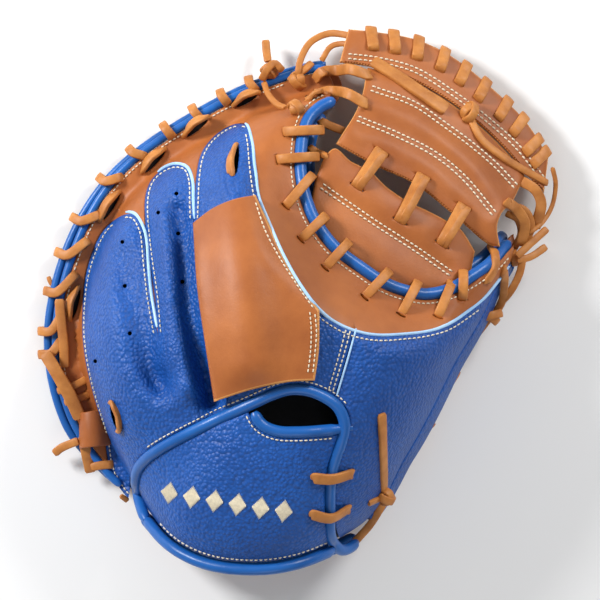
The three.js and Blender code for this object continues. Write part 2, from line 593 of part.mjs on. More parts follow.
// A lace whipped over an edge. side is 1 where the outside is left of the curve and -1 where it is
// right. Each step is [outward, share of the pitch, height(x, y, edge point), face outward, face up].
// slots lists how far outward the lace passes through leather.
function whip(curve, side, pitch, steps, slots) {
  const turns = Math.floor(curveLength(curve) / pitch);
  const path = new THREE.CatmullRomCurve3(curve.map((p) => new THREE.Vector3(p.x, p.y, 0)));
  const points = [];
  const faces = [];
  const tools = [];
  for (let turn = 0; turn < turns; turn += 1) {
    const place = (share) => {
      const t = clamp((turn + 0.3 + share) / turns, 0, 1);
      const edge = path.getPointAt(t);
      const along = path.getTangentAt(t);
      return { edge, out: new THREE.Vector3(-along.y, along.x, 0).multiplyScalar(side).normalize() };
    };
    steps.forEach(([outward, share, height, faceOut, faceUp]) => {
      const { edge, out } = place(share);
      const p = edge.clone().addScaledVector(out, outward);
      points.push(p.setZ(height(p.x, p.y, edge)));
      faces.push(out.clone().multiplyScalar(faceOut).setZ(faceUp));
    });
    slots.forEach((outward) => {
      const { edge, out } = place(0);
      tools.push(slotTool(edge.addScaledVector(out, outward), out));
    });
  }
  return { ...laceSolids(points, faces), tools };
}

// Height of a lace's middle over or under a leather surface.
const LACE_LIFT = LACE_THICKNESS / 2 + CLEARANCE;
const over = (height) => (x, y) => height(x, y) + LACE_LIFT * slope(x, y, height);
const under = (height) => (x, y) => height(x, y) - LACE_LIFT * slope(x, y, height);

const bindingHeight = (x, y) => {
  const rim = rimAt(x, y);
  return (rim.back + LEATHER + rim.palm - PALM_EDGE) / 2;
};
const ROUND = BINDING / 2 + LACE_LIFT + 0.85;

function rimLace() {
  const binding = (x, y, edge) => bindingHeight(edge.x, edge.y);
  const above = over((x, y) => rimAt(x, y).back + LEATHER);
  const below = under((x, y) => rimAt(x, y).palm - PALM_EDGE);
  const steps = [
    [-LACE_INSET, 0, below, -1, 0],
    [-LACE_INSET, 0, above, -0.7, 0.7],
    [0, 0, (x, y, edge) => binding(x, y, edge) + ROUND, 0.2, 1],
    [0.8 * ROUND, 0.04, (x, y, edge) => binding(x, y, edge) + 0.6 * ROUND, 0.7, 0.7],
    [0.8 * ROUND, 0.12, (x, y, edge) => binding(x, y, edge) - 0.6 * ROUND, 0.7, -0.7],
    [0, 0.45, (x, y, edge) => binding(x, y, edge) - ROUND, 0, -1],
    [-0.5 * LACE_INSET, 0.85, below, -0.3, -1],
  ];
  return whip(rimCurve(90, 204, TUBE_STEP), -1, RIM_LACE_PITCH, steps, [-LACE_INSET]);
}

const CROTCH_LACE = { from: 0.2, to: 0.84 };
function crotchLace() {
  const level = (drop) => (x, y, edge) => crotchBackHeight(edge.x, edge.y) + drop;
  const low = -(BINDING / 2 + WEB_THICKNESS + CLEARANCE + LACE_LIFT);
  const steps = [
    [-LACE_INSET, 0, level(low), -1, 0],
    [-LACE_INSET, 0, over(backHeight), -0.7, 0.7],
    [0, 0, level(1.25 * ROUND), 0.2, 1],
    [0.8 * ROUND, 0, level(0.85 * ROUND), 0.7, 0.7],
    [1.1 * ROUND, 0.02, level(0), 1, 0],
    [1.1 * ROUND, 0.04, level(low), 1, -0.5],
    [0, 0.5, level(low), 0, -1],
    [-0.5 * LACE_INSET, 0.9, level(low), -0.3, -1],
  ];
  const fine = planCurve(CROTCH_EDGE, TUBE_STEP / 2);
  const part = fine.slice(Math.round(fine.length * CROTCH_LACE.from), Math.round(fine.length * CROTCH_LACE.to));
  return whip(part, 1, CROTCH_LACE_PITCH, steps, [-LACE_INSET, 1.1 * ROUND]);
}

const WEB_LACE_INSET = 7;
function webEdgeLace() {
  const steps = [
    [-WEB_LACE_INSET, 0, under(webHeight), -1, 0],
    [-WEB_LACE_INSET, 0, over(barTop), -0.7, 0.7],
    [LACE_LIFT + 0.6, 0.03, (x, y) => barTop(x, y) + 0.6, 0.7, 0.7],
    [LACE_LIFT + 0.6, 0.1, (x, y) => webHeight(x, y) - 0.9, 0.7, -0.7],
    [-0.3 * WEB_LACE_INSET, 0.5, (x, y) => under(webHeight)(x, y) - 0.4, 0, -1],
    [-0.7 * WEB_LACE_INSET, 0.85, (x, y) => under(webHeight)(x, y) - 0.4, -0.3, -1],
  ];
  return whip(planCurve(WEB_EDGE, TUBE_STEP), -1, WEB_LACE_PITCH, steps, [-WEB_LACE_INSET]);
}

// Whether a plan point lies within an outline.
function within(x, y, outline) {
  return outline.reduce((inside, a, i) => {
    const b = outline[(i + 1) % outline.length];
    const crosses = (a.y > y) !== (b.y > y) && x < a.x + ((b.x - a.x) * (y - a.y)) / (b.y - a.y);
    return crosses ? !inside : inside;
  }, false);
}

// What a lace has to pass over, as outlines with tops and as round bindings.
const mouthOutline = [...offsetCurve(crotch, -BINDING / 2), ...CROTCH_MOUTH.map(at)];
const webSeam = planCurve(WEB_SEAM, 9);
const barOutline = [
  ...planCurve(WEB_EDGE, 9), ...planCurve(WEB_BAR_ENDS.left, 9).slice(1, -1), ...webSeam,
];
// The seam's stretch over the upper panel, moved to below the bar.
const upperTop = offsetCurve(webSeam, -LAYER_GAP)
  .filter((p) => p.x > at(WEB_UPPER.left.at(-1)).x && p.x < at(WEB_UPPER.right[0]).x);
const webPanels = [
  { outline: barOutline, top: barTop },
  { outline: [...upperTop, ...cornered(WEB_UPPER, 9)], top: webTop },
  { outline: cornered(WEB_LOWER, 9), top: webTop },
];
const edgeMiddle = (x, y) => backHeight(x, y) - LEATHER / 2;
const roundEdges = [
  { line: crotchFine, middle: crotchBackHeight, radius: 0.6 * BINDING },
  { line: planCurve(OPENING_EDGE, 2), middle: edgeMiddle, radius: 0.6 * STRAP_BINDING },
];
function clearHeight(x, y) {
  const tops = webPanels.filter(({ outline }) => within(x, y, outline)).map(({ top }) => over(top)(x, y));
  if (!within(x, y, mouthOutline) && rimAt(x, y).inside > 0) tops.push(over(backHeight)(x, y));
  roundEdges.forEach(({ line, middle, radius }) => {
    const near = line.filter((p) => Math.hypot(x - p.x, y - p.y) < radius + LACE_WIDTH);
    near.forEach((p) => tops.push(middle(p.x, p.y) + radius + LACE_LIFT));
  });
  return Math.max(...tops, 0);
}

// A short lace over the leather between two slots.
const surfaceTops = { back: backHeight, web: webTop, bar: barTop };
const surfaceUndersides = { back: backUnder, web: webHeight, bar: webHeight };
function tie(a, b, surfaces) {
  const along = b.clone().sub(a).normalize();
  const ends = [over(surfaceTops[surfaces[0]])(a.x, a.y), over(surfaceTops[surfaces[1]])(b.x, b.y)];
  const steps = Math.max(3, Math.round(a.distanceTo(b) / (TUBE_STEP / 2)));
  const middle = Array.from({ length: steps + 1 }, (_, i) => {
    const t = i / steps;
    const p = a.clone().lerp(b, t);
    const height = Math.max(lerp(ends[0], ends[1], t), clearHeight(p.x, p.y));
    return new THREE.Vector3(p.x, p.y, height + (LACE_THICKNESS / 2) * Math.sin(Math.PI * t));
  });
  const end = (p, name) => new THREE.Vector3(p.x, p.y, surfaceUndersides[name](p.x, p.y) + CLEARANCE);
  const points = [end(a, surfaces[0]), ...middle, end(b, surfaces[1])];
  const flat = new THREE.Vector3(along.x, along.y, 0);
  const faces = points.map(() => UP);
  faces[0] = flat.clone().negate();
  faces[points.length - 1] = flat;
  return { ...laceSolids(points, faces), tools: [slotTool(a, along), slotTool(b, along)] };
}
function flangePoint(angle) {
  const a = THREE.MathUtils.degToRad(angle);
  const rim = new THREE.Vector2(Math.cos(a) * MITT_WIDTH, Math.sin(a) * MITT_LENGTH)
    .multiplyScalar(rimValue(angle, 'radius'));
  return rim.setLength(rim.length() - FLANGE_TIE_INSET * MITT_WIDTH);
}

// A lace lying along the back with a knot in it.
const KNOT = 0.75;
function knotted({ path, knot }) {
  const places = planCurve(path, TUBE_STEP / 2).map((p) => offBack(p.x, p.y, LACE_LIFT + CLEARANCE));
  const strip = laceSolids(places.map((place) => place.point), places.map((place) => place.face));
  const { point, face } = places[Math.round(knot * (places.length - 1))];
  const rise = KNOT * LACE_WIDTH - LACE_THICKNESS / 2;
  const middle = point.clone().addScaledVector(face, rise);
  const lump = new THREE.IcosahedronGeometry(KNOT * LACE_WIDTH, 0).translate(middle.x, middle.y, middle.z);
  return { body: strip.body.add(solidOf(lump)), space: strip.space };
}

const MATERIALS = {
  tan: { name: 'tan_leather', color: 0xa66338, roughness: 0.6 },
  blue: { name: 'blue_leather', color: 0x2957a8, roughness: 0.55 },
  binding: { name: 'blue_binding', color: 0x2b68b8, roughness: 0.45 },
  lace: { name: 'rawhide_lace', color: 0xcc8542, roughness: 0.65 },
  piping: { name: 'light_piping', color: 0xc0d6ee, roughness: 0.5 },
};
const group = new THREE.Group();
function add(name, material, solid) {
  const mesh = new THREE.Mesh(geometryOf(solid), new THREE.MeshStandardMaterial(MATERIALS[material]));
  mesh.name = name;
  group.add(mesh);
}

// A piece without the room that laces need, and a little away from a piece under or over it.
function trimmed(piece, strips, neighbours = [], lift = 0) {
  const meets = (other) => piece.intersect(other).volume() > 0;
  const tools = [
    ...strips.filter(({ body }) => meets(body)).map(({ space }) => space),
    ...neighbours.map((other) => other.translate([0, 0, lift])).filter(meets),
  ];
  const parts = cutBy(piece, tools).decompose();
  return parts.reduce((best, part) => (part.volume() > best.volume() ? part : best));
}

function build() {
  const rim = rimLace();
  const crotchWhip = crotchLace();
  const edge = webEdgeLace();
  const ties = [
    ...FLANGE_TIES.map(({ name, from, to }) => (
      { name, ...tie(flangePoint(from), flangePoint(to), ['back', 'back']) })),
    ...TIES.map(({ name, from, to, surfaces }) => ({ name, ...tie(at(from), at(to), surfaces) })),
  ];
  const loose = KNOTTED.map((row) => ({ name: row.name, ...knotted(row) }));
  const tieTools = ties.flatMap((row) => row.tools);
  const strips = [rim, crotchWhip, edge, ...ties, ...loose];

  const piping = planCurve(PIPING_LINE, TUBE_STEP);
  const opening = planCurve(OPENING_EDGE, 7);
  const strapTop = planCurve(STRAP_TOP, 9);
  const openingRoom = STRAP_BINDING + 2 * CLEARANCE;
  const crotchRoom = BINDING / 2 + CLEARANCE;
  const mouth = CROTCH_MOUTH.map(at);
  const notch = prism([...offsetCurve(crotch, -crotchRoom), ...mouth]);

  const slab = rimSlab();
  const bound = cutBy(slab, [
    notch, seamTool(opening, openingRoom), seamTool(piping, PIPING + 2 * CLEARANCE),
  ]);
  const backSlab = cutBy(bound, [
    ...STALL_SEAMS.map((seam) => seamTool(planCurve(seam, STALL_STEP), SEAM_GAP)),
    seamTool(planCurve(THUMB_SEAM, 15), SEAM_GAP), seamTool(strapTop, openingRoom),
    ...rim.tools, ...crotchWhip.tools, ...tieTools,
  ]);
  const panel = (seed) => trimmed(lifted(pieceAt(backSlab, seed), backUnder, backHeight), strips);
  const backPanels = [
    { name: 'outer_back', material: 'tan', solid: panel([0.1, 0.056]) },
    { name: 'finger_stalls', material: 'blue', solid: panel([-0.35, 0.02]) },
    { name: 'thumb_back', material: 'blue', solid: panel([0.2, -0.1]) },
    { name: 'wrist_strap', material: 'blue', solid: panel([-0.1, -0.32]) },
  ];
  backPanels.forEach(({ name, material, solid }) => add(name, material, solid));
  const backSolids = backPanels.map(({ solid }) => solid);

  const flapUnder = (x, y) => backHeight(x, y) + LAYER_GAP * slope(x, y, backHeight);
  const flapTop = (x, y) => flapUnder(x, y) + (LEATHER + FLAP_PADDING) * slope(x, y, backHeight);
  const flap = pieceAt(bound.intersect(prism(cornered(INDEX_PAD, 9))), [-0.1, 0.05]);
  add('index_pad', 'tan', trimmed(lifted(flap, flapUnder, flapTop), strips, backSolids, CLEARANCE));

  const palmEdge = offsetCurve(crotch, BINDING * PALM_TUCK);
  const palmNotch = prism([...offsetCurve(palmEdge, -crotchRoom), ...mouth]);
  const palmSlab = cutBy(slab, [palmNotch, ...rim.tools, ...crotchWhip.tools]);
  add('palm_pad', 'tan', trimmed(lifted(palmSlab, pocketHeight, palmHeight), strips, backSolids, -CLEARANCE));

  const web = webSlab();
  const webTools = [...edge.tools, ...crotchWhip.tools, ...tieTools];
  webPanels.forEach(({ outline, top }, i) => {
    const cut = cutBy(web.intersect(prism(outline)), webTools);
    add(['web_bar', 'web_upper', 'web_lower'][i], 'tan', trimmed(lifted(cut, webHeight, top), strips));
  });

  add('rim_binding', 'binding', tube(rimCurve(84, 222, TUBE_STEP), bindingHeight, BINDING));
  const besideEdge = (diameter) => (angle) => edgeAt(angle) - diameter / 2 - SEAM_GAP;
  const thumbLine = rimCurve(292, 376, TUBE_STEP, besideEdge(WELT));
  add('thumb_binding', 'binding', tube(thumbLine, bindingHeight, WELT));
  const heelHeight = (x, y) => rimAt(x, y).palm - PALM_EDGE / 2;
  const heelLine = rimCurve(228, 286, TUBE_STEP, besideEdge(BINDING));
  add('heel_binding', 'binding', tube(heelLine, heelHeight, BINDING));
  const strapEdgeHeight = (x, y) => rimAt(x, y).back + LEATHER / 2;
  const strapLine = rimCurve(229, 279, TUBE_STEP, besideEdge(STRAP_BINDING));
  add('strap_bottom_binding', 'binding', tube(strapLine, strapEdgeHeight, STRAP_BINDING));
  const clearOfRim = (BINDING + STRAP_BINDING) / 2 + 2 * LEATHER;
  add('opening_binding', 'binding', tube(inRim(opening, clearOfRim), edgeMiddle, STRAP_BINDING));
  const strapTopLine = strapTop.filter((p) => opening.every((q) => q.distanceTo(p) > STRAP_BINDING + LEATHER));
  add('strap_top_binding', 'binding', tube(strapTopLine, edgeMiddle, STRAP_BINDING));
  add('crotch_binding_back', 'binding', tube(inRim(crotch, BINDING), crotchBackHeight, BINDING));
  const palmLine = inRim(palmEdge, CROTCH_CLIMB * MITT_WIDTH);
  add('crotch_binding_palm', 'binding', tube(palmLine, crotchPalmHeight, BINDING));
  add('back_piping', 'piping', tube(inRim(piping, BINDING).slice(1), backHeight, PIPING));

  add('rim_lace', 'lace', rim.body);
  add('crotch_lace', 'lace', crotchWhip.body);
  add('web_edge_lace', 'lace', edge.body);
  [...ties, ...loose].forEach((row) => add(row.name, 'lace', row.body));

  // The origin is the middle of the mitt's footprint, on the ground.
  const box = new THREE.Box3().setFromObject(group);
  const middle = box.getCenter(new THREE.Vector3());
  group.children.forEach((mesh) => mesh.geometry.translate(-middle.x, -middle.y, -box.min.z));
}
build();

export default group;
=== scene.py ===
import math
import random
from collections import namedtuple

import bpy
import numpy as np
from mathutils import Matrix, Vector
from mathutils.bvhtree import BVHTree
from mathutils.geometry import delaunay_2d_cdt

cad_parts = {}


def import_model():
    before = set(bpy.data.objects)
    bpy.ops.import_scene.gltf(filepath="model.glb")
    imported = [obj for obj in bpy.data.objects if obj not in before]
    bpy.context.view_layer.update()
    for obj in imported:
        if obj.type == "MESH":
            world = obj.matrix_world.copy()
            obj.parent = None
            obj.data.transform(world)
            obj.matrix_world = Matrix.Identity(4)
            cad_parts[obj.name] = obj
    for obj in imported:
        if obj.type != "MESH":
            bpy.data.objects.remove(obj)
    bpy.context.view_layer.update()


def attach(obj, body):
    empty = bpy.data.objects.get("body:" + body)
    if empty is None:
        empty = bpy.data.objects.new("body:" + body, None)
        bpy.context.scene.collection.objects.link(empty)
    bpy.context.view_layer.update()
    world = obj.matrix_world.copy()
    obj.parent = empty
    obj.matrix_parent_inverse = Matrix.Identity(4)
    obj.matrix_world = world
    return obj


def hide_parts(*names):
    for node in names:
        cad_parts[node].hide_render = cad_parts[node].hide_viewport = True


# A catcher's mitt lying pocket down, seen from above. The plan is in millimetres round the middle of
# the palm, as in the part's source, and PLAN_SHIFT brings it to the frame.
PLAN_SHIFT = np.array([3.05, -18.66, 0.0])

# Overall sizes, as in the part's source
WIDTH = 282
LENGTH = 303
CROWN = 110
POCKET_DEPTH = 60
LEATHER = 2.6
PAD = 15
FLAP_PADDING = 2.4
RIM_HEIGHT = 11
PALM_EDGE = 4
BINDING = 7.6
WELT = 3.4
STRAP_BINDING = 6.4
CLEARANCE = 0.35
LAYER_GAP = 0.8
HIDDEN_GAP = 3
SEAM_GAP = 0.7
EDGE_ROOM = 1.7
LACE_WIDTH = 6
LACE_THICKNESS = 2.4
LACE_INSET = 6.9
EDGE_INSET = BINDING / 2 + EDGE_ROOM
WELT_INSET = WELT / 2 + SEAM_GAP
WEB_RADIUS = 0.585
WEB_EDGE_HEIGHT = 9
WEB_RISE = 60
WEB_THICKNESS = 4
WEB_BAR_THICKNESS = 6.5

# Fineness of the leather's meshes, of its lines and of the slopes taken on it
CELL = 2.3
PALM_CELL = 3.2
LINE_STEP = 1.6
RINGS = (0.5, 1.1, 2.2)
SPLINE_POINTS = 24
SLOPE_STEP = 0.5
SLOPE_MOST = 3
# How many plan points are measured against a line at a time
BLOCK = 2000

# How the leather turns down at an edge and sinks towards a seam
EDGE_ROLL = 1.2
SEAM_ROLL = 0.9
SEAM_PUFF = 1.5
PUFF_WIDTH = 5.5

# The photograph's scale, for places read off it: millimetres to a pixel, and the plan's middle
PHOTO_SCALE = 0.55
PHOTO_MIDDLE = (300, 330)

random.seed(7)


def spots(*places):
    """Plan points of places in the photograph."""
    p = np.array(places, float)
    return np.stack([p[:, 0] - PHOTO_MIDDLE[0], PHOTO_MIDDLE[1] - p[:, 1]], 1) * PHOTO_SCALE


def plan(*shares):
    """Plan points of shares of the mitt's width and length."""
    return np.array(shares, float) * (WIDTH, LENGTH)


# The rim, counter-clockwise from the thumb side. flange is a share of WIDTH, back and palm of CROWN.
# welt is 1 where the leathers meet at a thin welt and 0 where the edge is bound.
RIM_COLUMNS = ("angle", "radius", "flange", "back", "palm", "full", "welt")
RIM = np.array([
    (8.9, 0.39, 0.004, 0.02, 0.02, 2.3, 1),
    (20.2, 0.469, 0.006, 0.02, 0.02, 1.7, 0.4),
    (34.9, 0.472, 0.012, 0, 0, 1.5, 0),
    (50.2, 0.474, 0.02, 0, 0, 1.5, 0),
    (66.3, 0.486, 0.03, 0, 0, 1.45, 0),
    (81.5, 0.499, 0.036, 0, 0, 1.4, 0),
    (99.6, 0.468, 0.038, 0, 0, 1.4, 0),
    (120, 0.453, 0.038, 0, 0, 1.4, 0),
    (144, 0.473, 0.038, 0, 0, 1.5, 0),
    (165.2, 0.484, 0.038, 0, 0, 1.8, 0),
    (182.5, 0.496, 0.038, 0, 0, 2.1, 0),
    (198.9, 0.493, 0.042, 0, 0, 2.2, 0),
    (214.1, 0.476, 0.03, 0, 0, 2.3, 0),
    (223.6, 0.463, 0.01, 0.04, 0.04, 2.2, 0),
    (236, 0.471, 0.006, 0.37, 0.14, 1.8, 0),
    (245.2, 0.466, 0.006, 0.5, 0.15, 1.6, 0),
    (256.4, 0.448, 0.006, 0.57, 0.15, 1.5, 0),
    (267.4, 0.429, 0.006, 0.56, 0.15, 1.5, 0),
    (275.9, 0.414, 0.006, 0.45, 0.14, 1.7, 0),
    (283, 0.405, 0.006, 0.2, 0.1, 2, 0),
    (291.3, 0.385, 0.005, 0.04, 0.04, 2.3, 0.6),
    (312.7, 0.319, 0.004, 0.02, 0.02, 2.5, 1),
    (345.8, 0.315, 0.004, 0.02, 0.02, 2.5, 1),
])

# Seams and edges of the back, as shares of WIDTH and LENGTH
OUTER_SEAM = plan(
    (-0.332, -0.321), (-0.361, -0.287), (-0.377, -0.256), (-0.384, -0.223), (-0.388, -0.192),
    (-0.396, -0.158), (-0.411, -0.105), (-0.424, -0.04), (-0.43, 0.015), (-0.428, 0.082),
    (-0.41, 0.147), (-0.386, 0.187), (-0.352, 0.209), (-0.324, 0.209), (-0.306, 0.183),
    (-0.296, 0.123), (-0.287, 0.062), (-0.273, -0.005),
)
MIDDLE_SEAM = plan(
    (-0.273, -0.005), (-0.28, 0.062), (-0.291, 0.123), (-0.301, 0.192), (-0.303, 0.243),
    (-0.293, 0.276), (-0.269, 0.296), (-0.244, 0.303), (-0.22, 0.296), (-0.209, 0.272),
    (-0.206, 0.236), (-0.204, 0.2),
)
INDEX_SEAM = plan(
    (-0.204, 0.2), (-0.203, 0.236), (-0.202, 0.276), (-0.195, 0.318), (-0.177, 0.349),
    (-0.154, 0.368), (-0.127, 0.379), (-0.105, 0.376),
)
THUMB_SEAM = plan((0.104, 0.004), (0.088, -0.05), (0.062, -0.13))
PIPING_LINE = plan(
    (-0.154, 0.368), (-0.127, 0.379), (-0.105, 0.376), (-0.094, 0.349), (-0.088, 0.294),
    (-0.078, 0.236), (-0.059, 0.189), (-0.033, 0.134), (0, 0.08), (0.037, 0.036), (0.078, 0.009),
    (0.115, -0.004), (0.152, -0.009), (0.195, -0.007), (0.242, -0.002), (0.283, 0.009),
    (0.322, 0.031), (0.353, 0.053), (0.38, 0.082), (0.406, 0.113), (0.432, 0.14),
)
OPENING_EDGE = plan(
    (-0.332, -0.321), (-0.326, -0.287), (-0.318, -0.258), (-0.3, -0.234), (-0.269, -0.212),
    (-0.183, -0.169), (-0.121, -0.142), (-0.076, -0.123), (-0.041, -0.109), (-0.006, -0.103),
    (0.031, -0.111), (0.062, -0.127), (0.082, -0.149), (0.084, -0.178), (0.074, -0.212),
    (0.062, -0.245), (0.057, -0.309), (0.062, -0.363), (0.078, -0.4), (0.09, -0.43),
)
STRAP_TOP = plan(
    (-0.1, -0.12), (-0.074, -0.165), (-0.045, -0.178), (-0.006, -0.18), (0.05, -0.177), (0.1, -0.172),
)
CROTCH_EDGE = plan(
    (0.066, 0.478), (0.078, 0.448), (0.066, 0.42), (0.039, 0.405), (0.018, 0.385), (0.008, 0.361),
    (0.002, 0.327), (0.002, 0.281), (0.012, 0.236), (0.033, 0.191), (0.07, 0.147), (0.121, 0.111),
    (0.164, 0.085), (0.205, 0.071), (0.244, 0.065), (0.291, 0.074), (0.332, 0.096),
    (0.373, 0.123), (0.4, 0.149), (0.423, 0.171),
)
CROTCH_MOUTH = plan((0.46, 0.19), (0.62, 0.3), (0.45, 0.62), (0.09, 0.62), (0.08, 0.5))
PALM_TUCK = 0.6
# Outlines with corners, as the sides between them
PAD_TOP = plan((-0.206, 0.192), (-0.168, 0.218), (-0.127, 0.234), (-0.085, 0.242))
PAD_RIGHT = plan((-0.085, 0.242), (-0.059, 0.189), (-0.033, 0.134), (0, 0.08), (0.037, 0.036))
PAD_SIDE = plan((0.037, 0.036), (0.036, -0.033), (0.028, -0.088))
PAD_BOTTOM = plan((0.028, -0.088), (-0.018, -0.09), (-0.088, -0.103), (-0.164, -0.126))
PAD_LEFT = plan((-0.164, -0.126), (-0.183, -0.009), (-0.196, 0.073), (-0.206, 0.192))
WEB_EDGE = plan(
    (0.492, 0.318), (0.449, 0.381), (0.38, 0.445), (0.298, 0.505), (0.228, 0.535), (0.15, 0.548),
    (0.096, 0.553),
)
WEB_SEAM = plan(
    (0.078, 0.49), (0.13, 0.484), (0.195, 0.468), (0.26, 0.44), (0.335, 0.392), (0.404, 0.333),
    (0.448, 0.285), (0.482, 0.252),
)
BAR_LEFT = plan((0.096, 0.553), (0.078, 0.49))
BAR_RIGHT = plan((0.482, 0.252), (0.492, 0.318))
UPPER_RIGHT = plan((0.443, 0.282), (0.417, 0.234), (0.396, 0.214), (0.386, 0.189), (0.392, 0.152))
UPPER_BOTTOM = plan(
    (0.392, 0.152), (0.373, 0.154), (0.298, 0.211), (0.224, 0.265), (0.148, 0.298), (0.07, 0.338),
)
UPPER_LEFT = plan((0.07, 0.338), (0.111, 0.401), (0.125, 0.44), (0.13, 0.476))
LOWER_TOP = plan(
    (0.047, 0.314), (0.068, 0.33), (0.098, 0.307), (0.138, 0.287), (0.168, 0.26), (0.209, 0.234),
    (0.254, 0.214), (0.287, 0.198), (0.314, 0.183), (0.342, 0.143),
)
LOWER_RIGHT = plan((0.342, 0.143), (0.332, 0.098))
LOWER_BOTTOM = plan(
    (0.332, 0.098), (0.291, 0.077), (0.244, 0.068), (0.205, 0.074), (0.164, 0.088), (0.121, 0.114),
    (0.071, 0.15), (0.035, 0.193), (0.02, 0.227),
)
LOWER_LEFT = plan((0.02, 0.227), (0.029, 0.269), (0.047, 0.314))

# Swells and hollows: a path in shares, half width as a share of WIDTH, height as a share of CROWN
Swell = namedtuple("Swell", "path width height")
BACK_RELIEF = (
    Swell(((-0.375, 0.17), (-0.34, -0.15)), 0.055, 0.05),
    Swell(((-0.292, 0.17), (-0.255, -0.08)), 0.034, -0.07),
    Swell(((-0.25, 0.26), (-0.215, -0.1)), 0.032, 0.05),
    Swell(((-0.14, 0.32), (-0.09, -0.05)), 0.05, 0.06),
    Swell(((0.32, 0.04), (0.13, -0.16)), 0.08, 0.04),
)
# The valley beside the index pad, which the pad bridges
PAD_VALLEY = (
    Swell(((-0.208, 0.18), (-0.172, -0.11)), 0.034, -0.06),
    Swell((
        (-0.238, 0.214), (-0.232, 0.163), (-0.226, 0.109), (-0.2165, 0.036), (-0.201, -0.027),
        (-0.181, -0.087), (-0.168, -0.125),
    ), 0.021, -0.105),
)
# Finer folds of the finger backs than the part's source has
FOLDS = (
    Swell((
        (-0.347, 0.13), (-0.33, 0.07), (-0.314, 0.02), (-0.303, -0.03), (-0.292, -0.071), (-0.268, -0.098),
    ), 0.027, -0.07),
    Swell(((-0.262, 0.2), (-0.257, 0.11), (-0.262, 0.02), (-0.254, -0.054), (-0.25, -0.087)), 0.022, 0.045),
    Swell(((-0.225, -0.1), (-0.25, -0.125), (-0.29, -0.118), (-0.32, -0.08)), 0.022, 0.018),
)
WEB_RELIEF = (
    Swell(((0.115, 0.47), (0.25, 0.425), (0.37, 0.345), (0.435, 0.27)), 0.024, 0.022),
    Swell(((0.125, 0.425), (0.23, 0.385), (0.34, 0.3), (0.41, 0.21)), 0.034, 0.045),
    Swell(((0.1, 0.365), (0.2, 0.335), (0.3, 0.265), (0.39, 0.18)), 0.03, 0.032),
    Swell(((0.03, 0.31), (0.14, 0.25), (0.25, 0.19)), 0.04, 0.022),
)
# Where the hand goes: a capsule's two ends in shares, and its radius as a share of WIDTH
Hollow = namedtuple("Hollow", "start end radius")
HAND = (
    Hollow((-0.11, -0.5), (-0.11, -0.3), 0.2),
    Hollow((-0.12, -0.25), (-0.08, -0.08), 0.2),
    Hollow((-0.31, -0.08), (-0.36, 0.13), 0.052),
    Hollow((-0.22, -0.02), (-0.25, 0.24), 0.042),
    Hollow((-0.1, 0), (-0.145, 0.31), 0.045),
    Hollow((0.05, -0.16), (0.27, -0.01), 0.06),
)
HAND_SOFTNESS = 0.035
LIP_START = 0.064
LIP_WIDTH = 0.032
LIP_SLOPE = 0.6
CROTCH_CLIMB = 0.08
CROTCH_BLEND = 0.13
DOME_POWER = 2.2
DOME_START = 0.55
POCKET_POWER = 2.1
WEB_POWER = 1.15


def lerp(a, b, t):
    return a + (b - a) * t


def unit(v):
    return v / np.linalg.norm(v)


def unit_rows(rows):
    return rows / np.maximum(np.linalg.norm(rows, axis=1, keepdims=True), 1e-9)


def left_of(way):
    return np.array([-way[1], way[0]])


def hermite(a, b, start, end, t):
    """From a to b as t goes from 0 to 1, setting out by start and arriving by end."""
    return (
        (2 * t**3 - 3 * t**2 + 1) * a + (t**3 - 2 * t**2 + t) * start
        + (3 * t**2 - 2 * t**3) * b + (t**3 - t**2) * end
    )


def smooth(t):
    t = np.clip(t, 0, 1)
    return t * t * (3 - 2 * t)


def spline(points, step):
    """A centripetal Catmull-Rom curve through points of any dimension, at even steps."""
    p = np.asarray(points, float)
    p = np.vstack([2 * p[:1] - p[1:2], p, 2 * p[-1:] - p[-2:-1]])
    fine = []
    for a, b, c, d in zip(p, p[1:], p[2:], p[3:]):
        before, here, after = (max(np.linalg.norm(s) ** 0.5, 1e-6) for s in (b - a, c - b, d - c))
        start = ((b - a) / before - (c - a) / (before + here) + (c - b) / here) * here
        end = ((c - b) / here - (d - b) / (here + after) + (d - c) / after) * here
        t = np.linspace(0, 1, SPLINE_POINTS, endpoint=False)[:, None]
        fine.append(hermite(b, c, start, end, t))
    return resample(np.vstack([*fine, p[-2:-1]]), step)


def resample(line, step):
    """The same line with points at even steps."""
    run = np.concatenate([[0], np.cumsum(np.linalg.norm(np.diff(line[:, :3], axis=0), axis=1))])
    count = max(2, round(run[-1] / step))
    at = np.linspace(0, run[-1], count + 1)
    return np.stack([np.interp(at, run, line[:, k]) for k in range(line.shape[1])], 1)


def cornered(*sides):
    """A closed outline with corners where its smooth sides meet."""
    return np.vstack([spline(side, LINE_STEP)[:-1] for side in sides])


def offset(line, distance):
    """A plan line moved to its left."""
    along = unit_rows(np.gradient(line, axis=0))
    return line + distance * np.stack([-along[:, 1], along[:, 0]], 1)


def part_of(line, start, end):
    """The stretch of a line between two shares of its points."""
    return line[round(start * (len(line) - 1)):round(end * (len(line) - 1)) + 1]


def line_distance(points, line, closed=False):
    """Least distance from each plan point to a line."""
    a = line if closed else line[:-1]
    b = np.roll(line, -1, axis=0) if closed else line[1:]
    d = b - a
    least = np.empty(len(points))
    for k in range(0, len(points), BLOCK):
        to = points[k:k + BLOCK, None] - a[None]
        t = np.clip((to * d).sum(2) / np.maximum((d * d).sum(1), 1e-12), 0, 1)
        least[k:k + BLOCK] = np.linalg.norm(to - t[..., None] * d, axis=2).min(1)
    return least


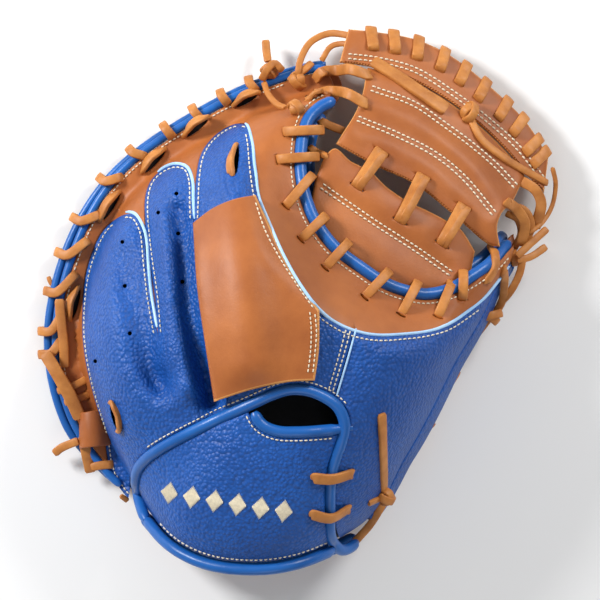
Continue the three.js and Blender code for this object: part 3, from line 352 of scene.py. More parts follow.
def inside_of(points, outline):
    """Which plan points lie in a closed outline."""
    a, b = outline, np.roll(outline, -1, axis=0)
    x, y = points[:, :1], points[:, 1:]
    rise = np.where(np.abs(b[:, 1] - a[:, 1]) < 1e-12, 1e-12, b[:, 1] - a[:, 1])
    cross = ((a[:, 1] > y) != (b[:, 1] > y)) & (x < a[:, 0] + (b[:, 0] - a[:, 0]) * (y - a[:, 1]) / rise)
    return cross.sum(1) % 2 == 1


def rim_value(angle, column):
    """A column of the rim table at angles in degrees, smooth between its rows."""
    knots = RIM[:, 0]
    values = RIM[:, RIM_COLUMNS.index(column)]
    high = np.searchsorted(knots, np.mod(angle, 360), side="right") % len(knots)
    low, before, after = high - 1, high - 2, (high + 1) % len(knots)

    def turn(start, end):
        return np.mod(end - start, 360)

    h = turn(knots[low], knots[high])
    t = turn(knots[low], angle) / h
    slope_in = (values[high] - values[before]) / turn(knots[before], knots[high])
    slope_out = (values[after] - values[low]) / turn(knots[low], knots[after])
    return hermite(values[low], values[high], h * slope_in, h * slope_out, t)


def edge_at(angle):
    """How far within the rim the leathers end, at angles in degrees."""
    return lerp(EDGE_INSET, WELT_INSET, np.clip(rim_value(angle, "welt"), 0, 1))


def rim_at(x, y):
    """The rim in the direction of plan points, as in the part's source."""
    u, v = x / WIDTH, y / LENGTH
    angle = np.degrees(np.arctan2(v, u))
    share = np.maximum(np.hypot(u, v), 1e-9)
    radius = rim_value(angle, "radius")
    unit = np.hypot(x, y) / share
    palm = rim_value(angle, "palm") * CROWN
    return {
        "reach": radius * unit,
        "inside": (radius - share) * unit,
        "flange": rim_value(angle, "flange") * WIDTH + edge_at(angle) - EDGE_ROOM,
        "back": RIM_HEIGHT + rim_value(angle, "back") * CROWN,
        "palm": RIM_HEIGHT + palm - LAYER_GAP,
        "full": rim_value(angle, "full"),
        "lip": LIP_START * WIDTH + LIP_SLOPE * palm,
    }


def rim_line(start, end, inset=lambda angle: 0 * angle):
    """The rim between two angles in degrees. inset(angle) is how far within it the line is."""
    angle = np.arange(start, end + 0.5, 1.0)
    radius = rim_value(angle, "radius") - inset(angle) / WIDTH
    turn = np.radians(angle)
    line = np.stack([radius * np.cos(turn) * WIDTH, radius * np.sin(turn) * LENGTH], 1)
    return resample(line, LINE_STEP)


def in_leather(more=0.0):
    """An inset of the rim for a line on the leather, a little within its edge."""
    return lambda angle: edge_at(angle) + more


def beside_leather(diameter):
    """An inset of the rim for a tube beside the leather's edge."""
    return lambda angle: edge_at(angle) - diameter / 2 - SEAM_GAP


def relief(x, y, rows):
    points = np.stack([x, y], 1)
    total = np.zeros(len(x))
    for row in rows:
        path = plan(*row.path) if len(row.path) == 2 else spline(plan(*row.path), 4)
        away = line_distance(points, path) / (row.width * WIDTH)
        total += row.height * CROWN * np.exp(-away * away)
    return total


CROTCH = spline(CROTCH_EDGE, LINE_STEP)


def crotch_share(x, y, near, far):
    """1 at the crotch's binding, falling to 0 at a share of the width from it."""
    away = line_distance(np.stack([x, y], 1), CROTCH)
    return smooth((far * WIDTH - away) / ((far - near) * WIDTH))


def web_height(x, y):
    share = np.minimum(1, np.hypot(x / WIDTH, y / LENGTH) / WEB_RADIUS)
    return WEB_EDGE_HEIGHT + WEB_RISE * (1 - share * share) ** WEB_POWER


def web_top(x, y):
    return web_height(x, y) + WEB_THICKNESS + relief(x, y, WEB_RELIEF)


def bar_top(x, y):
    return web_height(x, y) + WEB_BAR_THICKNESS


def crotch_back_height(x, y):
    over = web_height(x, y) + WEB_THICKNESS + CLEARANCE + BINDING / 2
    return lerp(RIM_HEIGHT, over, smooth(rim_at(x, y)["inside"] / (CROTCH_CLIMB * WIDTH)))


CROTCH_LAYER = WEB_THICKNESS + BINDING + 2 * LACE_THICKNESS + 4 * CLEARANCE


def crotch_palm_height(x, y):
    return crotch_back_height(x, y) - CROTCH_LAYER


def back_form(x, y, rows):
    """Top of the back leather: an edge, then a dome that drops again to the crotch."""
    rim = rim_at(x, y)
    edge = rim["back"] + LEATHER
    depth = np.clip((rim["inside"] - rim["flange"]) / (rim["reach"] - rim["flange"]), 0, 1)
    start = smooth((rim["inside"] - rim["flange"]) / np.maximum(DOME_START * rim["flange"], 0.1))
    dome = start * (1 - (1 - depth) ** DOME_POWER) ** (1 / rim["full"])
    plain = edge + (CROWN - edge) * dome + relief(x, y, rows) * smooth(depth * 6)
    pull = crotch_share(x, y, 0, CROTCH_BLEND) * smooth(depth * 5)
    return lerp(plain, crotch_back_height(x, y) + LEATHER / 2, pull)


def back_height(x, y):
    return back_form(x, y, BACK_RELIEF + PAD_VALLEY + FOLDS)


def flap_base(x, y):
    """What the index pad lies on: the back without the valley beside it."""
    return back_form(x, y, BACK_RELIEF)


def back_under(x, y):
    top = back_height(x, y)
    least = np.minimum(rim_at(x, y)["back"], top - LEATHER)
    return np.maximum(top - LEATHER * slope(x, y, back_height), least)


def slope(x, y, height):
    """How much longer an upright measure is than one across the surface."""
    h = SLOPE_STEP
    gx = (height(x + h, y) - height(x - h, y)) / (2 * h)
    gy = (height(x, y + h) - height(x, y - h)) / (2 * h)
    return np.minimum(np.sqrt(1 + gx * gx + gy * gy), SLOPE_MOST)


def pocket_height(x, y):
    """Underside of the palm: its edge, a lip that rests on the ground, then a bowl."""
    rim = rim_at(x, y)
    edge = LACE_INSET + LACE_WIDTH / 2
    lip_end = rim["lip"] + LIP_WIDTH * WIDTH
    fall = smooth((rim["inside"] - edge) / (rim["lip"] - edge))
    depth = np.clip((rim["inside"] - lip_end) / (rim["reach"] - lip_end), 0, 1)
    plain = (rim["palm"] - PALM_EDGE) * (1 - fall) + POCKET_DEPTH * (1 - (1 - depth) ** POCKET_POWER)
    pull = crotch_share(x, y, 0.03, CROTCH_BLEND) * smooth(depth * 5)
    return lerp(plain, crotch_palm_height(x, y) - PALM_EDGE / 2, pull)


def hand_share(x, y):
    points = np.stack([x, y], 1)
    most = np.zeros(len(x))
    for part in HAND:
        within = part.radius * WIDTH - line_distance(points, plan(part.start, part.end))
        most = np.maximum(most, smooth(within / (HAND_SOFTNESS * WIDTH)))
    return most


def palm_height(x, y):
    """Top of the palm's padding: against the back leather, or lower down where the hand goes."""
    rim = rim_at(x, y)
    deep = smooth((rim["inside"] - rim["flange"]) / (LIP_START * WIDTH))
    packed = back_under(x, y) - lerp(LAYER_GAP, HIDDEN_GAP, deep)
    start = smooth((rim["inside"] - rim["flange"]) / LEATHER)
    edged = np.minimum(packed, lerp(rim["palm"], packed, start))
    bed = np.maximum(rim["palm"], pocket_height(x, y) + PAD)
    opened = lerp(edged, np.minimum(edged, bed), hand_share(x, y))
    pull = crotch_share(x, y, 0.05, 0.1) * smooth(rim["inside"] / LACE_INSET - 1)
    top = lerp(opened, np.minimum(opened, crotch_palm_height(x, y) + PALM_EDGE / 2), pull)
    return np.maximum(top, pocket_height(x, y) + PALM_EDGE)


# Materials


def new_material(name, roughness):
    material = bpy.data.materials.new(name)
    material.use_nodes = True
    shader = material.node_tree.nodes["Principled BSDF"]
    shader.inputs["Roughness"].default_value = roughness
    shader.inputs["Specular IOR Level"].default_value = 0.36
    return material, shader


def node(material, kind, **inputs):
    made = material.node_tree.nodes.new(kind)
    for name, value in inputs.items():
        made.inputs[name.replace("_", " ")].default_value = value
    return made


def link(material, start, end):
    material.node_tree.links.new(start, end)


def object_coordinates(material):
    return node(material, "ShaderNodeTexCoord").outputs["Object"]


def mottled(material, shader, low, high, scale, detail=6.0):
    """Colour that drifts between two tones."""
    noise = node(material, "ShaderNodeTexNoise", Scale=scale, Detail=detail, Roughness=0.6)
    link(material, object_coordinates(material), noise.inputs["Vector"])
    ramp = node(material, "ShaderNodeValToRGB")
    ramp.color_ramp.elements[0].position = 0.32
    ramp.color_ramp.elements[0].color = (*low, 1)
    ramp.color_ramp.elements[1].position = 0.68
    ramp.color_ramp.elements[1].color = (*high, 1)
    link(material, noise.outputs["Fac"], ramp.inputs["Fac"])
    link(material, ramp.outputs["Color"], shader.inputs["Base Color"])
    return ramp.outputs["Color"]


def bump(material, height, strength, distance, before=None):
    made = node(material, "ShaderNodeBump", Strength=strength, Distance=distance)
    link(material, height, made.inputs["Height"])
    if before is not None:
        link(material, before, made.inputs["Normal"])
    return made.outputs["Normal"]


def noise_height(material, scale, detail=3.0, stretch=(1, 1, 1)):
    mapping = node(material, "ShaderNodeMapping", Scale=stretch)
    link(material, object_coordinates(material), mapping.inputs["Vector"])
    noise = node(material, "ShaderNodeTexNoise", Scale=scale, Detail=detail)
    link(material, mapping.outputs["Vector"], noise.inputs["Vector"])
    return noise.outputs["Fac"]


def smooth_leather(name, low, high, roughness=0.5):
    """Oiled leather: mottled, with fine pores and soft creases."""
    material, shader = new_material(name, roughness)
    mottled(material, shader, low, high, 26)
    creases = bump(material, noise_height(material, 70, 4, (1, 0.45, 1)), 0.35, 0.0012)
    pores = bump(material, noise_height(material, 900, 2), 0.18, 0.0004, creases)
    link(material, pores, shader.inputs["Normal"])
    return material


def pebbled_leather(name, low, high, grain):
    """Leather embossed with small round pebbles, grain metres apart, with painted shade that darkens the
    colour towards the grooves between them.
    """
    material, shader = new_material(name, 0.48)
    warp = node(material, "ShaderNodeTexNoise", Scale=140.0, Detail=2.0)
    link(material, object_coordinates(material), warp.inputs["Vector"])
    bent = node(material, "ShaderNodeMix")
    bent.data_type = "VECTOR"
    bent.inputs["Factor"].default_value = 0.0012
    link(material, object_coordinates(material), bent.inputs["A"])
    link(material, warp.outputs["Color"], bent.inputs["B"])
    cells = node(material, "ShaderNodeTexVoronoi", Scale=1 / grain, Randomness=0.85)
    cells.feature = "SMOOTH_F1"
    cells.inputs["Smoothness"].default_value = 0.2
    link(material, bent.outputs["Result"], cells.inputs["Vector"])
    height = node(material, "ShaderNodeMath")
    height.operation = "MULTIPLY"
    height.inputs[1].default_value = -1.0
    link(material, cells.outputs["Distance"], height.inputs[0])
    colour = mottled(material, shader, low, high, 18)
    # Painted shade: the colour is scaled from 1.08 on the pebbles' tops down to 0.8 in the grooves between
    # them
    shade = node(material, "ShaderNodeMapRange")
    shade.inputs["From Min"].default_value = 0.15
    shade.inputs["From Max"].default_value = 0.75
    shade.inputs["To Min"].default_value = 1.08
    shade.inputs["To Max"].default_value = 0.8
    link(material, cells.outputs["Distance"], shade.inputs["Value"])
    tone = node(material, "ShaderNodeVectorMath")
    tone.operation = "SCALE"
    link(material, colour, tone.inputs[0])
    link(material, shade.outputs["Result"], tone.inputs["Scale"])
    link(material, tone.outputs["Vector"], shader.inputs["Base Color"])
    creases = bump(material, noise_height(material, 60, 3), 0.3, 0.0012)
    pebbles = bump(material, height.outputs["Value"], 0.9, 0.0009, creases)
    link(material, pebbles, shader.inputs["Normal"])
    return material


def lace_leather(name, low, high):
    """Waxed rawhide with a stretched grain."""
    material, shader = new_material(name, 0.5)
    mottled(material, shader, low, high, 95, 5)
    grain = bump(material, noise_height(material, 420, 4), 0.35, 0.0005)
    link(material, grain, shader.inputs["Normal"])
    return material


def thread_material(name, colour):
    material, shader = new_material(name, 0.6)
    mottled(material, shader, tuple(0.82 * c for c in colour), colour, 600, 2)
    return material


def make_materials():
    return {
        "tan": smooth_leather("tan_leather", (0.3, 0.083, 0.018), (0.43, 0.135, 0.031)),
        "tan_edge": smooth_leather("tan_cut_edge", (0.5, 0.2, 0.05), (0.68, 0.32, 0.1), 0.7),
        "blue": pebbled_leather("blue_pebbled", (0.004, 0.06, 0.29), (0.007, 0.09, 0.39), 0.0021),
        "blue_edge": smooth_leather("blue_cut_edge", (0.008, 0.04, 0.17), (0.012, 0.06, 0.24), 0.6),
        "binding": smooth_leather("blue_binding", (0.009, 0.09, 0.34), (0.013, 0.12, 0.42), 0.34),
        "piping": smooth_leather("light_piping", (0.3, 0.52, 0.8), (0.46, 0.68, 0.92), 0.35),
        "lace": lace_leather("rawhide", (0.38, 0.13, 0.026), (0.56, 0.225, 0.052)),
        "thread": thread_material("cream_thread", (0.8, 0.72, 0.55)),
        "embroidery": thread_material("embroidery_thread", (0.86, 0.77, 0.58)),
        # Near-black for the leathers' inside faces: painted shade of the mitt's hollow inside
        "inside_shade": smooth_leather("painted_inside_shade", (0.01, 0.01, 0.012), (0.02, 0.02, 0.024), 0.8),
    }


# Meshes

# Faces that meet at more degrees than this are shaded apart
SHARP_ANGLE = 50
# The least that a sheet keeps of its thickness on its top, and in all
LEAST_FACE = 0.4
LEAST_SHEET = 0.8


def make_object(name, points, faces, materials, choice=None, replaces=(), slot=None):
    """A smooth-shaded piece of the mitt from plan millimetres. choice holds each face's material."""
    mesh = bpy.data.meshes.new(name)
    frame_points = (np.asarray(points, float) + PLAN_SHIFT) / 1000
    mesh.from_pydata(frame_points.tolist(), [], [tuple(int(i) for i in f) for f in faces])
    for material in materials:
        mesh.materials.append(material)
    if choice is not None:
        mesh.polygons.foreach_set("material_index", np.asarray(choice, np.int32))
    mesh.polygons.foreach_set("use_smooth", np.ones(len(mesh.polygons), bool))
    mesh.set_sharp_from_angle(angle=math.radians(SHARP_ANGLE))
    mesh.validate()
    made = bpy.data.objects.new(name, mesh)
    bpy.context.scene.collection.objects.link(made)
    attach(made, "root")
    if replaces:
        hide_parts(*replaces)
    return made


# A line that a sheet of leather is cut or sewn along: roll is the radius that its edge turns down
# with, puff how far the leather sinks towards it.
Line = namedtuple("Line", "points closed roll puff")


def inner_points(outline, borders, spacing):
    """Points within an outline: a grid, and rows at the rings' distances from each border."""
    low, high = outline.points.min(0), outline.points.max(0)
    row = spacing * math.sqrt(3) / 2
    grid = []
    for j in range(int((high[1] - low[1]) / row) + 1):
        x = np.arange(low[0] + (j % 2) * spacing / 2, high[0], spacing)
        grid.append(np.stack([x, np.full(len(x), low[1] + j * row)], 1))
    sets = [(np.vstack(grid), RINGS[-1] + spacing / 2)]
    for ring in RINGS:
        for border in borders:
            whole = np.vstack([border.points, border.points[:1]]) if border.closed else border.points
            line = resample(whole, max(LINE_STEP, 1.2 * ring))
            sets.append((np.vstack([offset(line, ring), offset(line, -ring)]), 0.8 * ring))
    kept = []
    for points, least in sets:
        points = points[inside_of(points, outline.points)]
        away = np.min([line_distance(points, b.points, b.closed) for b in borders], axis=0)
        kept.append(points[away > least])
    return np.vstack(kept)


def drop_at(xy, borders):
    """How far the leather sinks at plan points, by the borders' rolls and puffs."""
    roll = np.zeros(len(xy))
    puff = np.zeros(len(xy))
    for border in borders:
        away = line_distance(xy, border.points, border.closed)
        if border.roll:
            near = border.roll - np.minimum(away, border.roll)
            roll = np.maximum(roll, border.roll - np.sqrt(border.roll**2 - near**2))
        if border.puff:
            puff = np.maximum(puff, border.puff * np.exp(-((away / PUFF_WIDTH) ** 2)))
    return roll + puff


def lay_out(outline, lines, spacing=CELL):
    """Triangles over an outline, with edges along the lines. Regions that a line parts are apart."""
    borders = [outline, *lines]
    points, edges = [], []
    for line in lines:
        first = len(points)
        points.extend(line.points)
        edges.extend((k, k + 1) for k in range(first, len(points) - 1))
        if line.closed:
            edges.append((len(points) - 1, first))
    first = len(points)
    points.extend(outline.points)
    face = list(range(first, len(points)))
    points.extend(inner_points(outline, borders, spacing))
    verts, out_edges, out_faces, _, from_edges, _ = delaunay_2d_cdt(
        [Vector(p) for p in points], edges, [face], 1, 1e-4
    )
    xy = np.array([tuple(v) for v in verts])
    tris = np.array([f for f in out_faces if len(f) == 3])
    a, b, c = (xy[tris[:, k]] for k in range(3))
    area = (b[:, 0] - a[:, 0]) * (c[:, 1] - a[:, 1]) - (b[:, 1] - a[:, 1]) * (c[:, 0] - a[:, 0])
    tris[area < 0] = tris[area < 0][:, ::-1]
    walls = {
        tuple(sorted(edge)) for edge, origin in zip(out_edges, from_edges)
        if any(k < len(edges) for k in origin)
    }
    return {"xy": xy, "tris": tris, "region": regions(tris, walls), "drop": drop_at(xy, borders)}


def regions(tris, walls):
    """A number for each triangle, the same for those that no wall parts."""
    parent = list(range(len(tris)))

    def root(k):
        while parent[k] != k:
            parent[k] = parent[parent[k]]
            k = parent[k]
        return k

    seen = {}
    for k, (a, b, c) in enumerate(tris.tolist()):
        for edge in ((a, b), (b, c), (c, a)):
            edge = (min(edge), max(edge))
            if edge in walls:
                continue
            if edge in seen:
                parent[root(k)] = root(seen[edge])
            seen[edge] = k
    return np.array([root(k) for k in range(len(tris))])


def piece_at(layout, seeds):
    """The region that each seed lies in, as points, triangles, border edges and drops."""
    xy, tris = layout["xy"], layout["tris"]
    a, b, c = (xy[tris[:, k]] for k in range(3))
    chosen = np.zeros(len(tris), bool)
    for seed in seeds:
        def side(p, q):
            return (q[:, 0] - p[:, 0]) * (seed[1] - p[:, 1]) - (q[:, 1] - p[:, 1]) * (seed[0] - p[:, 0])
        found = np.nonzero((side(a, b) >= 0) & (side(b, c) >= 0) & (side(c, a) >= 0))[0]
        chosen |= layout["region"] == layout["region"][found[0]]
    kept = tris[chosen]
    used, local = np.unique(kept, return_inverse=True)
    local = local.reshape(-1, 3)
    count = {}
    for tri in local.tolist():
        for edge in zip(tri, tri[1:] + tri[:1]):
            key = (min(edge), max(edge))
            count[key] = None if key in count else edge
    return xy[used], local, [e for e in count.values() if e], layout["drop"][used]


def plate(name, layout, seeds, top, under, materials, painted=None, **options):
    """A sheet over the regions of the seeds, between two heights, with rolled edges. materials are
    those of its top, its underside and its cut edge. painted(points) picks another one for some of
    the top."""
    xy, tris, border, drop = piece_at(layout, seeds)
    x, y = xy[:, 0], xy[:, 1]
    high = top(x, y)
    low = under(x, y)
    face = high - np.minimum(drop, np.maximum(high - low - LEAST_FACE, 0))
    deeper = np.minimum(low, high - drop - LEAST_SHEET)
    points = np.vstack([np.stack([x, y, face], 1), np.stack([x, y, deeper], 1)])
    n = len(xy)
    faces = [*tris.tolist(), *(tris[:, ::-1] + n).tolist(), *[(b, a, a + n, b + n) for a, b in border]]
    top_choice = [0] * len(tris) if painted is None else painted(xy[tris].mean(1)).tolist()
    choice = top_choice + [1] * len(tris) + [2] * len(border)
    return make_object(name, points, faces, materials, choice, **options)


def edge_paint(line, width, closed=True):
    """The cut edge's material on the top near a line."""
    return lambda points: np.where(line_distance(points, line, closed) < width, 2, 0)


def frames_along(points, faces):
    """Side and face directions across a path, at right angles to it."""
    along = unit_rows(np.gradient(points, axis=0))
    face = unit_rows(faces - along * (faces * along).sum(1, keepdims=True))
    return np.cross(face, along), face


def swept(points, faces, section, widths=None):
    """Vertices and faces of a section swept along points, closed by flat ends."""
    side, face = frames_along(points, faces)
    scale = np.ones(len(points)) if widths is None else np.asarray(widths)
    sides = len(section)
    verts = []
    for p, s, f, w in zip(points, side, face, scale):
        verts.extend(p + s * a * w + f * b * w for a, b in section)
    quads = []
    for i in range(len(points) - 1):
        for j in range(sides):
            k = (j + 1) % sides
            quads.append((i * sides + j, i * sides + k, (i + 1) * sides + k, (i + 1) * sides + j))
    last = (len(points) - 1) * sides
    quads.append(tuple(range(sides - 1, -1, -1)))
    quads.append(tuple(range(last, last + sides)))
    return verts, quads


def joined(parts):
    """Several (vertices, faces) as one."""
    verts, faces = [], []
    for part_verts, part_faces in parts:
        first = len(verts)
        verts.extend(part_verts)
        faces.extend(tuple(i + first for i in f) for f in part_faces)
    return verts, faces


def round_section(diameter, sides):
    turn = (np.arange(sides) + 0.5) / sides * 2 * math.pi
    return [(diameter / 2 * math.cos(a), diameter / 2 * math.sin(a)) for a in turn]


def lace_section(width=LACE_WIDTH, thickness=LACE_THICKNESS, corner=0.7):
    """A flat strip with rounded corners and a slightly crowned face."""
    made = []
    half_w, half_t = width / 2 - corner, thickness / 2 - corner
    for k, (sx, sy) in enumerate(((1, 1), (-1, 1), (-1, -1), (1, -1))):
        for step in range(3):
            a = math.radians(90 * k + 45 * step)
            made.append((sx * half_w + corner * math.cos(a), sy * half_t + corner * math.sin(a)))
        crown = 0.16 * (1 if k == 0 else -1 if k == 2 else 0)
        if crown:
            made.append((0, sy * thickness / 2 + crown))
    return made


THREAD_SIDES = 6


def capsule(start, end, radius, up):
    """A thread from start to end, a little arched away from the leather."""
    shares = (0.0, 0.12, 0.5, 0.88, 1.0)
    sizes = (0.35, 0.85, 1.0, 0.85, 0.35)
    path = np.array([lerp(start, end, t) + up * radius * 0.8 * math.sin(math.pi * t) for t in shares])
    return swept(path, np.tile(up, (len(path), 1)), round_section(2 * radius, THREAD_SIDES), sizes)


class Ground:
    """The pieces that others lie on, for finding a height and a face from above."""

    def __init__(self, pieces):
        verts, faces = [], []
        for piece in pieces:
            first = len(verts)
            verts.extend(v.co.copy() for v in piece.data.vertices)
            faces.extend([i + first for i in p.vertices] for p in piece.data.polygons)
        self.tree = BVHTree.FromPolygons(verts, faces)

    def at(self, x, y, default=RIM_HEIGHT + LEATHER):
        """Highest point over a plan point, and the way that it faces."""
        start = Vector(((x + PLAN_SHIFT[0]) / 1000, (y + PLAN_SHIFT[1]) / 1000, 0.3))
        hit, normal, _, _ = self.tree.ray_cast(start, Vector((0, 0, -1)))
        if hit is None:
            return (None if default is None else np.array([x, y, default])), np.array([0, 0, 1.0])
        normal = np.array(normal)
        if normal[2] < 0:
            normal = -normal
        return np.array([x, y, hit.z * 1000]), normal

    def broad_face(self, x, y, default, reach=3.5):
        """The way that the ground faces round a plan point, on average."""
        around = ((0, 0), (reach, 0), (-reach, 0), (0, reach), (0, -reach))
        return unit(sum(self.at(x + dx, y + dy, default)[1] for dx, dy in around))

    def over(self, line, lift, soften=0):
        """A plan line laid on the ground, lifted off it, with the faces there."""
        found = [self.at(x, y, None) for x, y in line]
        points = np.array([p for p, _ in found if p is not None])
        faces = np.array([n for p, n in found if p is not None])
        for _ in range(soften):
            points[1:-1, 2] = (points[:-2, 2] + 2 * points[1:-1, 2] + points[2:, 2]) / 4
            faces[1:-1] = (faces[:-2] + faces[1:-1] + faces[2:]) / 3
        faces = unit_rows(faces)
        return points + faces * lift, faces


def tube_object(name, points, diameter, material, sides=16, faces=None, **options):
    """A round binding or piping along points, drawn in at its ends."""
    up = np.tile((0, 0, 1.0), (len(points), 1)) if faces is None else faces
    widths = np.ones(len(points))
    widths[0] = widths[-1] = 0.55
    widths[1] = widths[-2] = 0.9
    verts, quads = swept(points, up, round_section(diameter, sides), widths)
    return make_object(name, verts, quads, [material], **options)


def with_height(line, height):
    return np.column_stack([line, height(line[:, 0], line[:, 1])])


STITCH_LIFT = 0.1
STITCH_INSET = 2.0


def stitch_row(ground, line, pitch=2.6, length=1.75, radius=0.42):
    """Threads along a plan line on the ground."""
    parts = []
    even = resample(line, pitch)
    for a, b in zip(even, even[1:]):
        middle, half = (a + b) / 2, (b - a) / 2 * length / pitch
        start, up = ground.at(*(middle - half), default=None)
        end, _ = ground.at(*(middle + half), default=None)
        if start is None or end is None or abs(start[2] - end[2]) > 2 * length:
            continue
        parts.append(capsule(start + up * STITCH_LIFT, end + up * STITCH_LIFT, radius, up))
    return parts


# The mitt's leather


def slot_outline(a, b, half_width, shift=0.0):
    """A lens-shaped slot between two plan points, moved to the left of the way from a to b."""
    middle = (a + b) / 2
    half = (b - a) / 2
    left = unit(left_of(half))
    turn = np.linspace(0, 2 * math.pi, 16, endpoint=False)
    return middle + left * shift + np.outer(np.cos(turn), half) + np.outer(half_width * np.sin(turn), left)


def round_hole(centre, radius):
    turn = np.linspace(0, 2 * math.pi, 10, endpoint=False)
    return centre + radius * np.stack([np.cos(turn), np.sin(turn)], 1)


# Arched laces by the finger tips: both ends in the photograph, and which side the slot lies on
FLANGE_TIES = (
    ("finger_tie_1", (66.8, 319), (74.9, 288), 1),
    ("finger_tie_2", (97.9, 218.7), (116, 191), 1),
    ("finger_tie_3", (140.4, 170.4), (162, 147.4), 1),
    ("finger_tie_4", (183, 133.6), (206, 115), 1),
    ("finger_tie_5", (233.6, 102.6), (256.6, 90), 1),
    ("index_tie", (233.5, 177), (236.5, 146), 1),
    ("little_finger_tie", (119.5, 429), (113, 403), -1),
)
# Half width of the slot under an arched lace, and radius of a vent
TIE_SLOT = 1.6
VENT = 1.15
# How far the leather runs in under the bindings
BINDING_LAP = 0.8
STRAP_LAP = 0.6
VENTS = spots(
    (122.5, 242), (126, 286), (132, 333), (96, 361), (177, 194), (159, 213), (179, 234), (184, 282),
)


def leather_edge(puff):
    """The outline of the leathers all round, within the bindings."""
    return Line(rim_line(0, 359.5, in_leather())[:-1], True, EDGE_ROLL, puff)


def crotch_mouth(edge, puff):
    """The outline of what a leather leaves open at the crotch, beside its binding's middle line."""
    beside = offset(edge, BINDING_LAP - BINDING / 2)
    return Line(resample(np.vstack([beside, CROTCH_MOUTH]), LINE_STEP), True, EDGE_ROLL, puff)


def back_layout():
    opening = spline(OPENING_EDGE, LINE_STEP)
    strap_top = spline(STRAP_TOP, LINE_STEP)
    strap_top = strap_top[strap_top[:, 0] < OPENING_EDGE[-7, 0]]
    seams = [spline(s, LINE_STEP) for s in (OUTER_SEAM, MIDDLE_SEAM, INDEX_SEAM, PIPING_LINE, THUMB_SEAM)]
    lines = [crotch_mouth(CROTCH, 0.4)]
    lines += [Line(seam, False, SEAM_ROLL, SEAM_PUFF) for seam in seams]
    for bound in (opening, strap_top):
        lines += [Line(line, False, EDGE_ROLL, 0) for line in edges_of(bound, STRAP_BINDING / 2 - STRAP_LAP)]
    for _, a, b, side in FLANGE_TIES:
        a, b = spots(a, b)
        lines.append(Line(slot_outline(a, b, TIE_SLOT, -side * 0.6), True, 0.8, 0.9))
    for ends in CROTCH_LACES:
        lines.append(end_slot(*spots(*ends), CROTCH_LACE_WIDTH * 0.56))
    lines += [Line(round_hole(vent, VENT), True, 0.5, 0) for vent in VENTS]
    return lay_out(leather_edge(0.5), lines)


def edges_of(line, room):
    """Both edges of the room that a binding along a line takes."""
    return offset(line, room), offset(line, -room)


def make_back(materials):
    layout = back_layout()
    # Each back leather's underside is painted near-black as the shade inside the mitt
    tan = [materials["tan"], materials["inside_shade"], materials["tan_edge"]]
    blue = [materials["blue"], materials["inside_shade"], materials["blue_edge"]]
    common = {"top": back_height, "under": back_under}
    seeds = plan((0.1, 0.056), (-0.35, 0.02), (0.2, -0.1), (-0.1, -0.32))
    rows = (
        ("outer_back", tan, "tan_leather"), ("finger_stalls", blue, "blue_leather"),
        ("thumb_back", blue, "blue_leather"), ("wrist_strap", blue, "blue_leather"),
    )
    return [
        plate(f"{name}_leather", layout, [seed], **common, materials=pair, replaces=[name], slot=slot)
        for (name, pair, slot), seed in zip(rows, seeds)
    ]


# How far from the crotch the palm's top shows its tan leather; further in, the top is painted near-black as
# the shade inside the mitt
BARE_PALM = 13
# How deep and how wide the palm sinks below a slot in the back, and its least thickness there
SLOT_DENT = 5
SLOT_DENT_WIDTH = 7
SLOT_BED = 2.5


def make_palm(materials):
    edge = offset(CROTCH, BINDING * PALM_TUCK)
    layout = lay_out(leather_edge(0), [crotch_mouth(edge, 0)], PALM_CELL)
    slots = [spots(a, b) for _, a, b, _ in FLANGE_TIES]

    def top(x, y):
        points = np.stack([x, y], 1)
        near = np.min([line_distance(points, s) for s in slots], axis=0)
        dent = SLOT_DENT * np.exp(-((near / SLOT_DENT_WIDTH) ** 2))
        return np.maximum(palm_height(x, y) - dent, pocket_height(x, y) + SLOT_BED)

    palm = plate(
        "palm_pad_leather", layout, [plan((0, -0.1))[0]], top, pocket_height,
        # The palm's top is painted near-black as shade, and tan near the crotch
        [materials["inside_shade"], materials["tan"], materials["tan"]],
        painted=lambda points: np.where(line_distance(points, edge) < BARE_PALM, 1, 0),
        replaces=["palm_pad"], slot="tan_leather",
    )
    return palm


def flap_under(x, y):
    return flap_base(x, y) + LAYER_GAP * slope(x, y, flap_base)


def flap_top(x, y):
    return flap_under(x, y) + (LEATHER + FLAP_PADDING) * slope(x, y, flap_base)


# The index pad's cut edges, and its folded one
CUT_ROLL = 0.5
CUT_WIDTH = 1.0
FOLD_ROLL = 3.4


def make_index_pad(materials):
    outline = Line(cornered(PAD_TOP, PAD_RIGHT, PAD_SIDE, PAD_BOTTOM, PAD_LEFT), True, CUT_ROLL, 0.2)
    cut = np.vstack([spline(side, LINE_STEP) for side in (PAD_RIGHT, PAD_SIDE, PAD_BOTTOM)])
    fold = Line(spline(PAD_LEFT, LINE_STEP), False, FOLD_ROLL, 0)
    layout = lay_out(outline, [fold])
    return plate(
        "index_pad_leather", layout, [plan((-0.1, 0.05))[0]], flap_top, flap_under,
        # The pad's underside is painted near-black as shade
        [materials["tan"], materials["inside_shade"], materials["tan_edge"]],
        painted=edge_paint(cut, CUT_WIDTH, closed=False), replaces=["index_pad"], slot="tan_leather",
    )


# Both ends of the ties between the web's panels, in the photograph
WEB_TIES = (((381, 152), (357, 187)), ((423, 177), (400, 221)), ((464, 207), (442, 244)))


def end_slot(end, other, half_length):
    """A slot across a lace, just beyond its end."""
    way = unit(end - other)
    side = left_of(way) * half_length
    middle = end + way * 0.3
    return Line(slot_outline(middle - side, middle + side, END_SLOT), True, 0.5, 0.5)


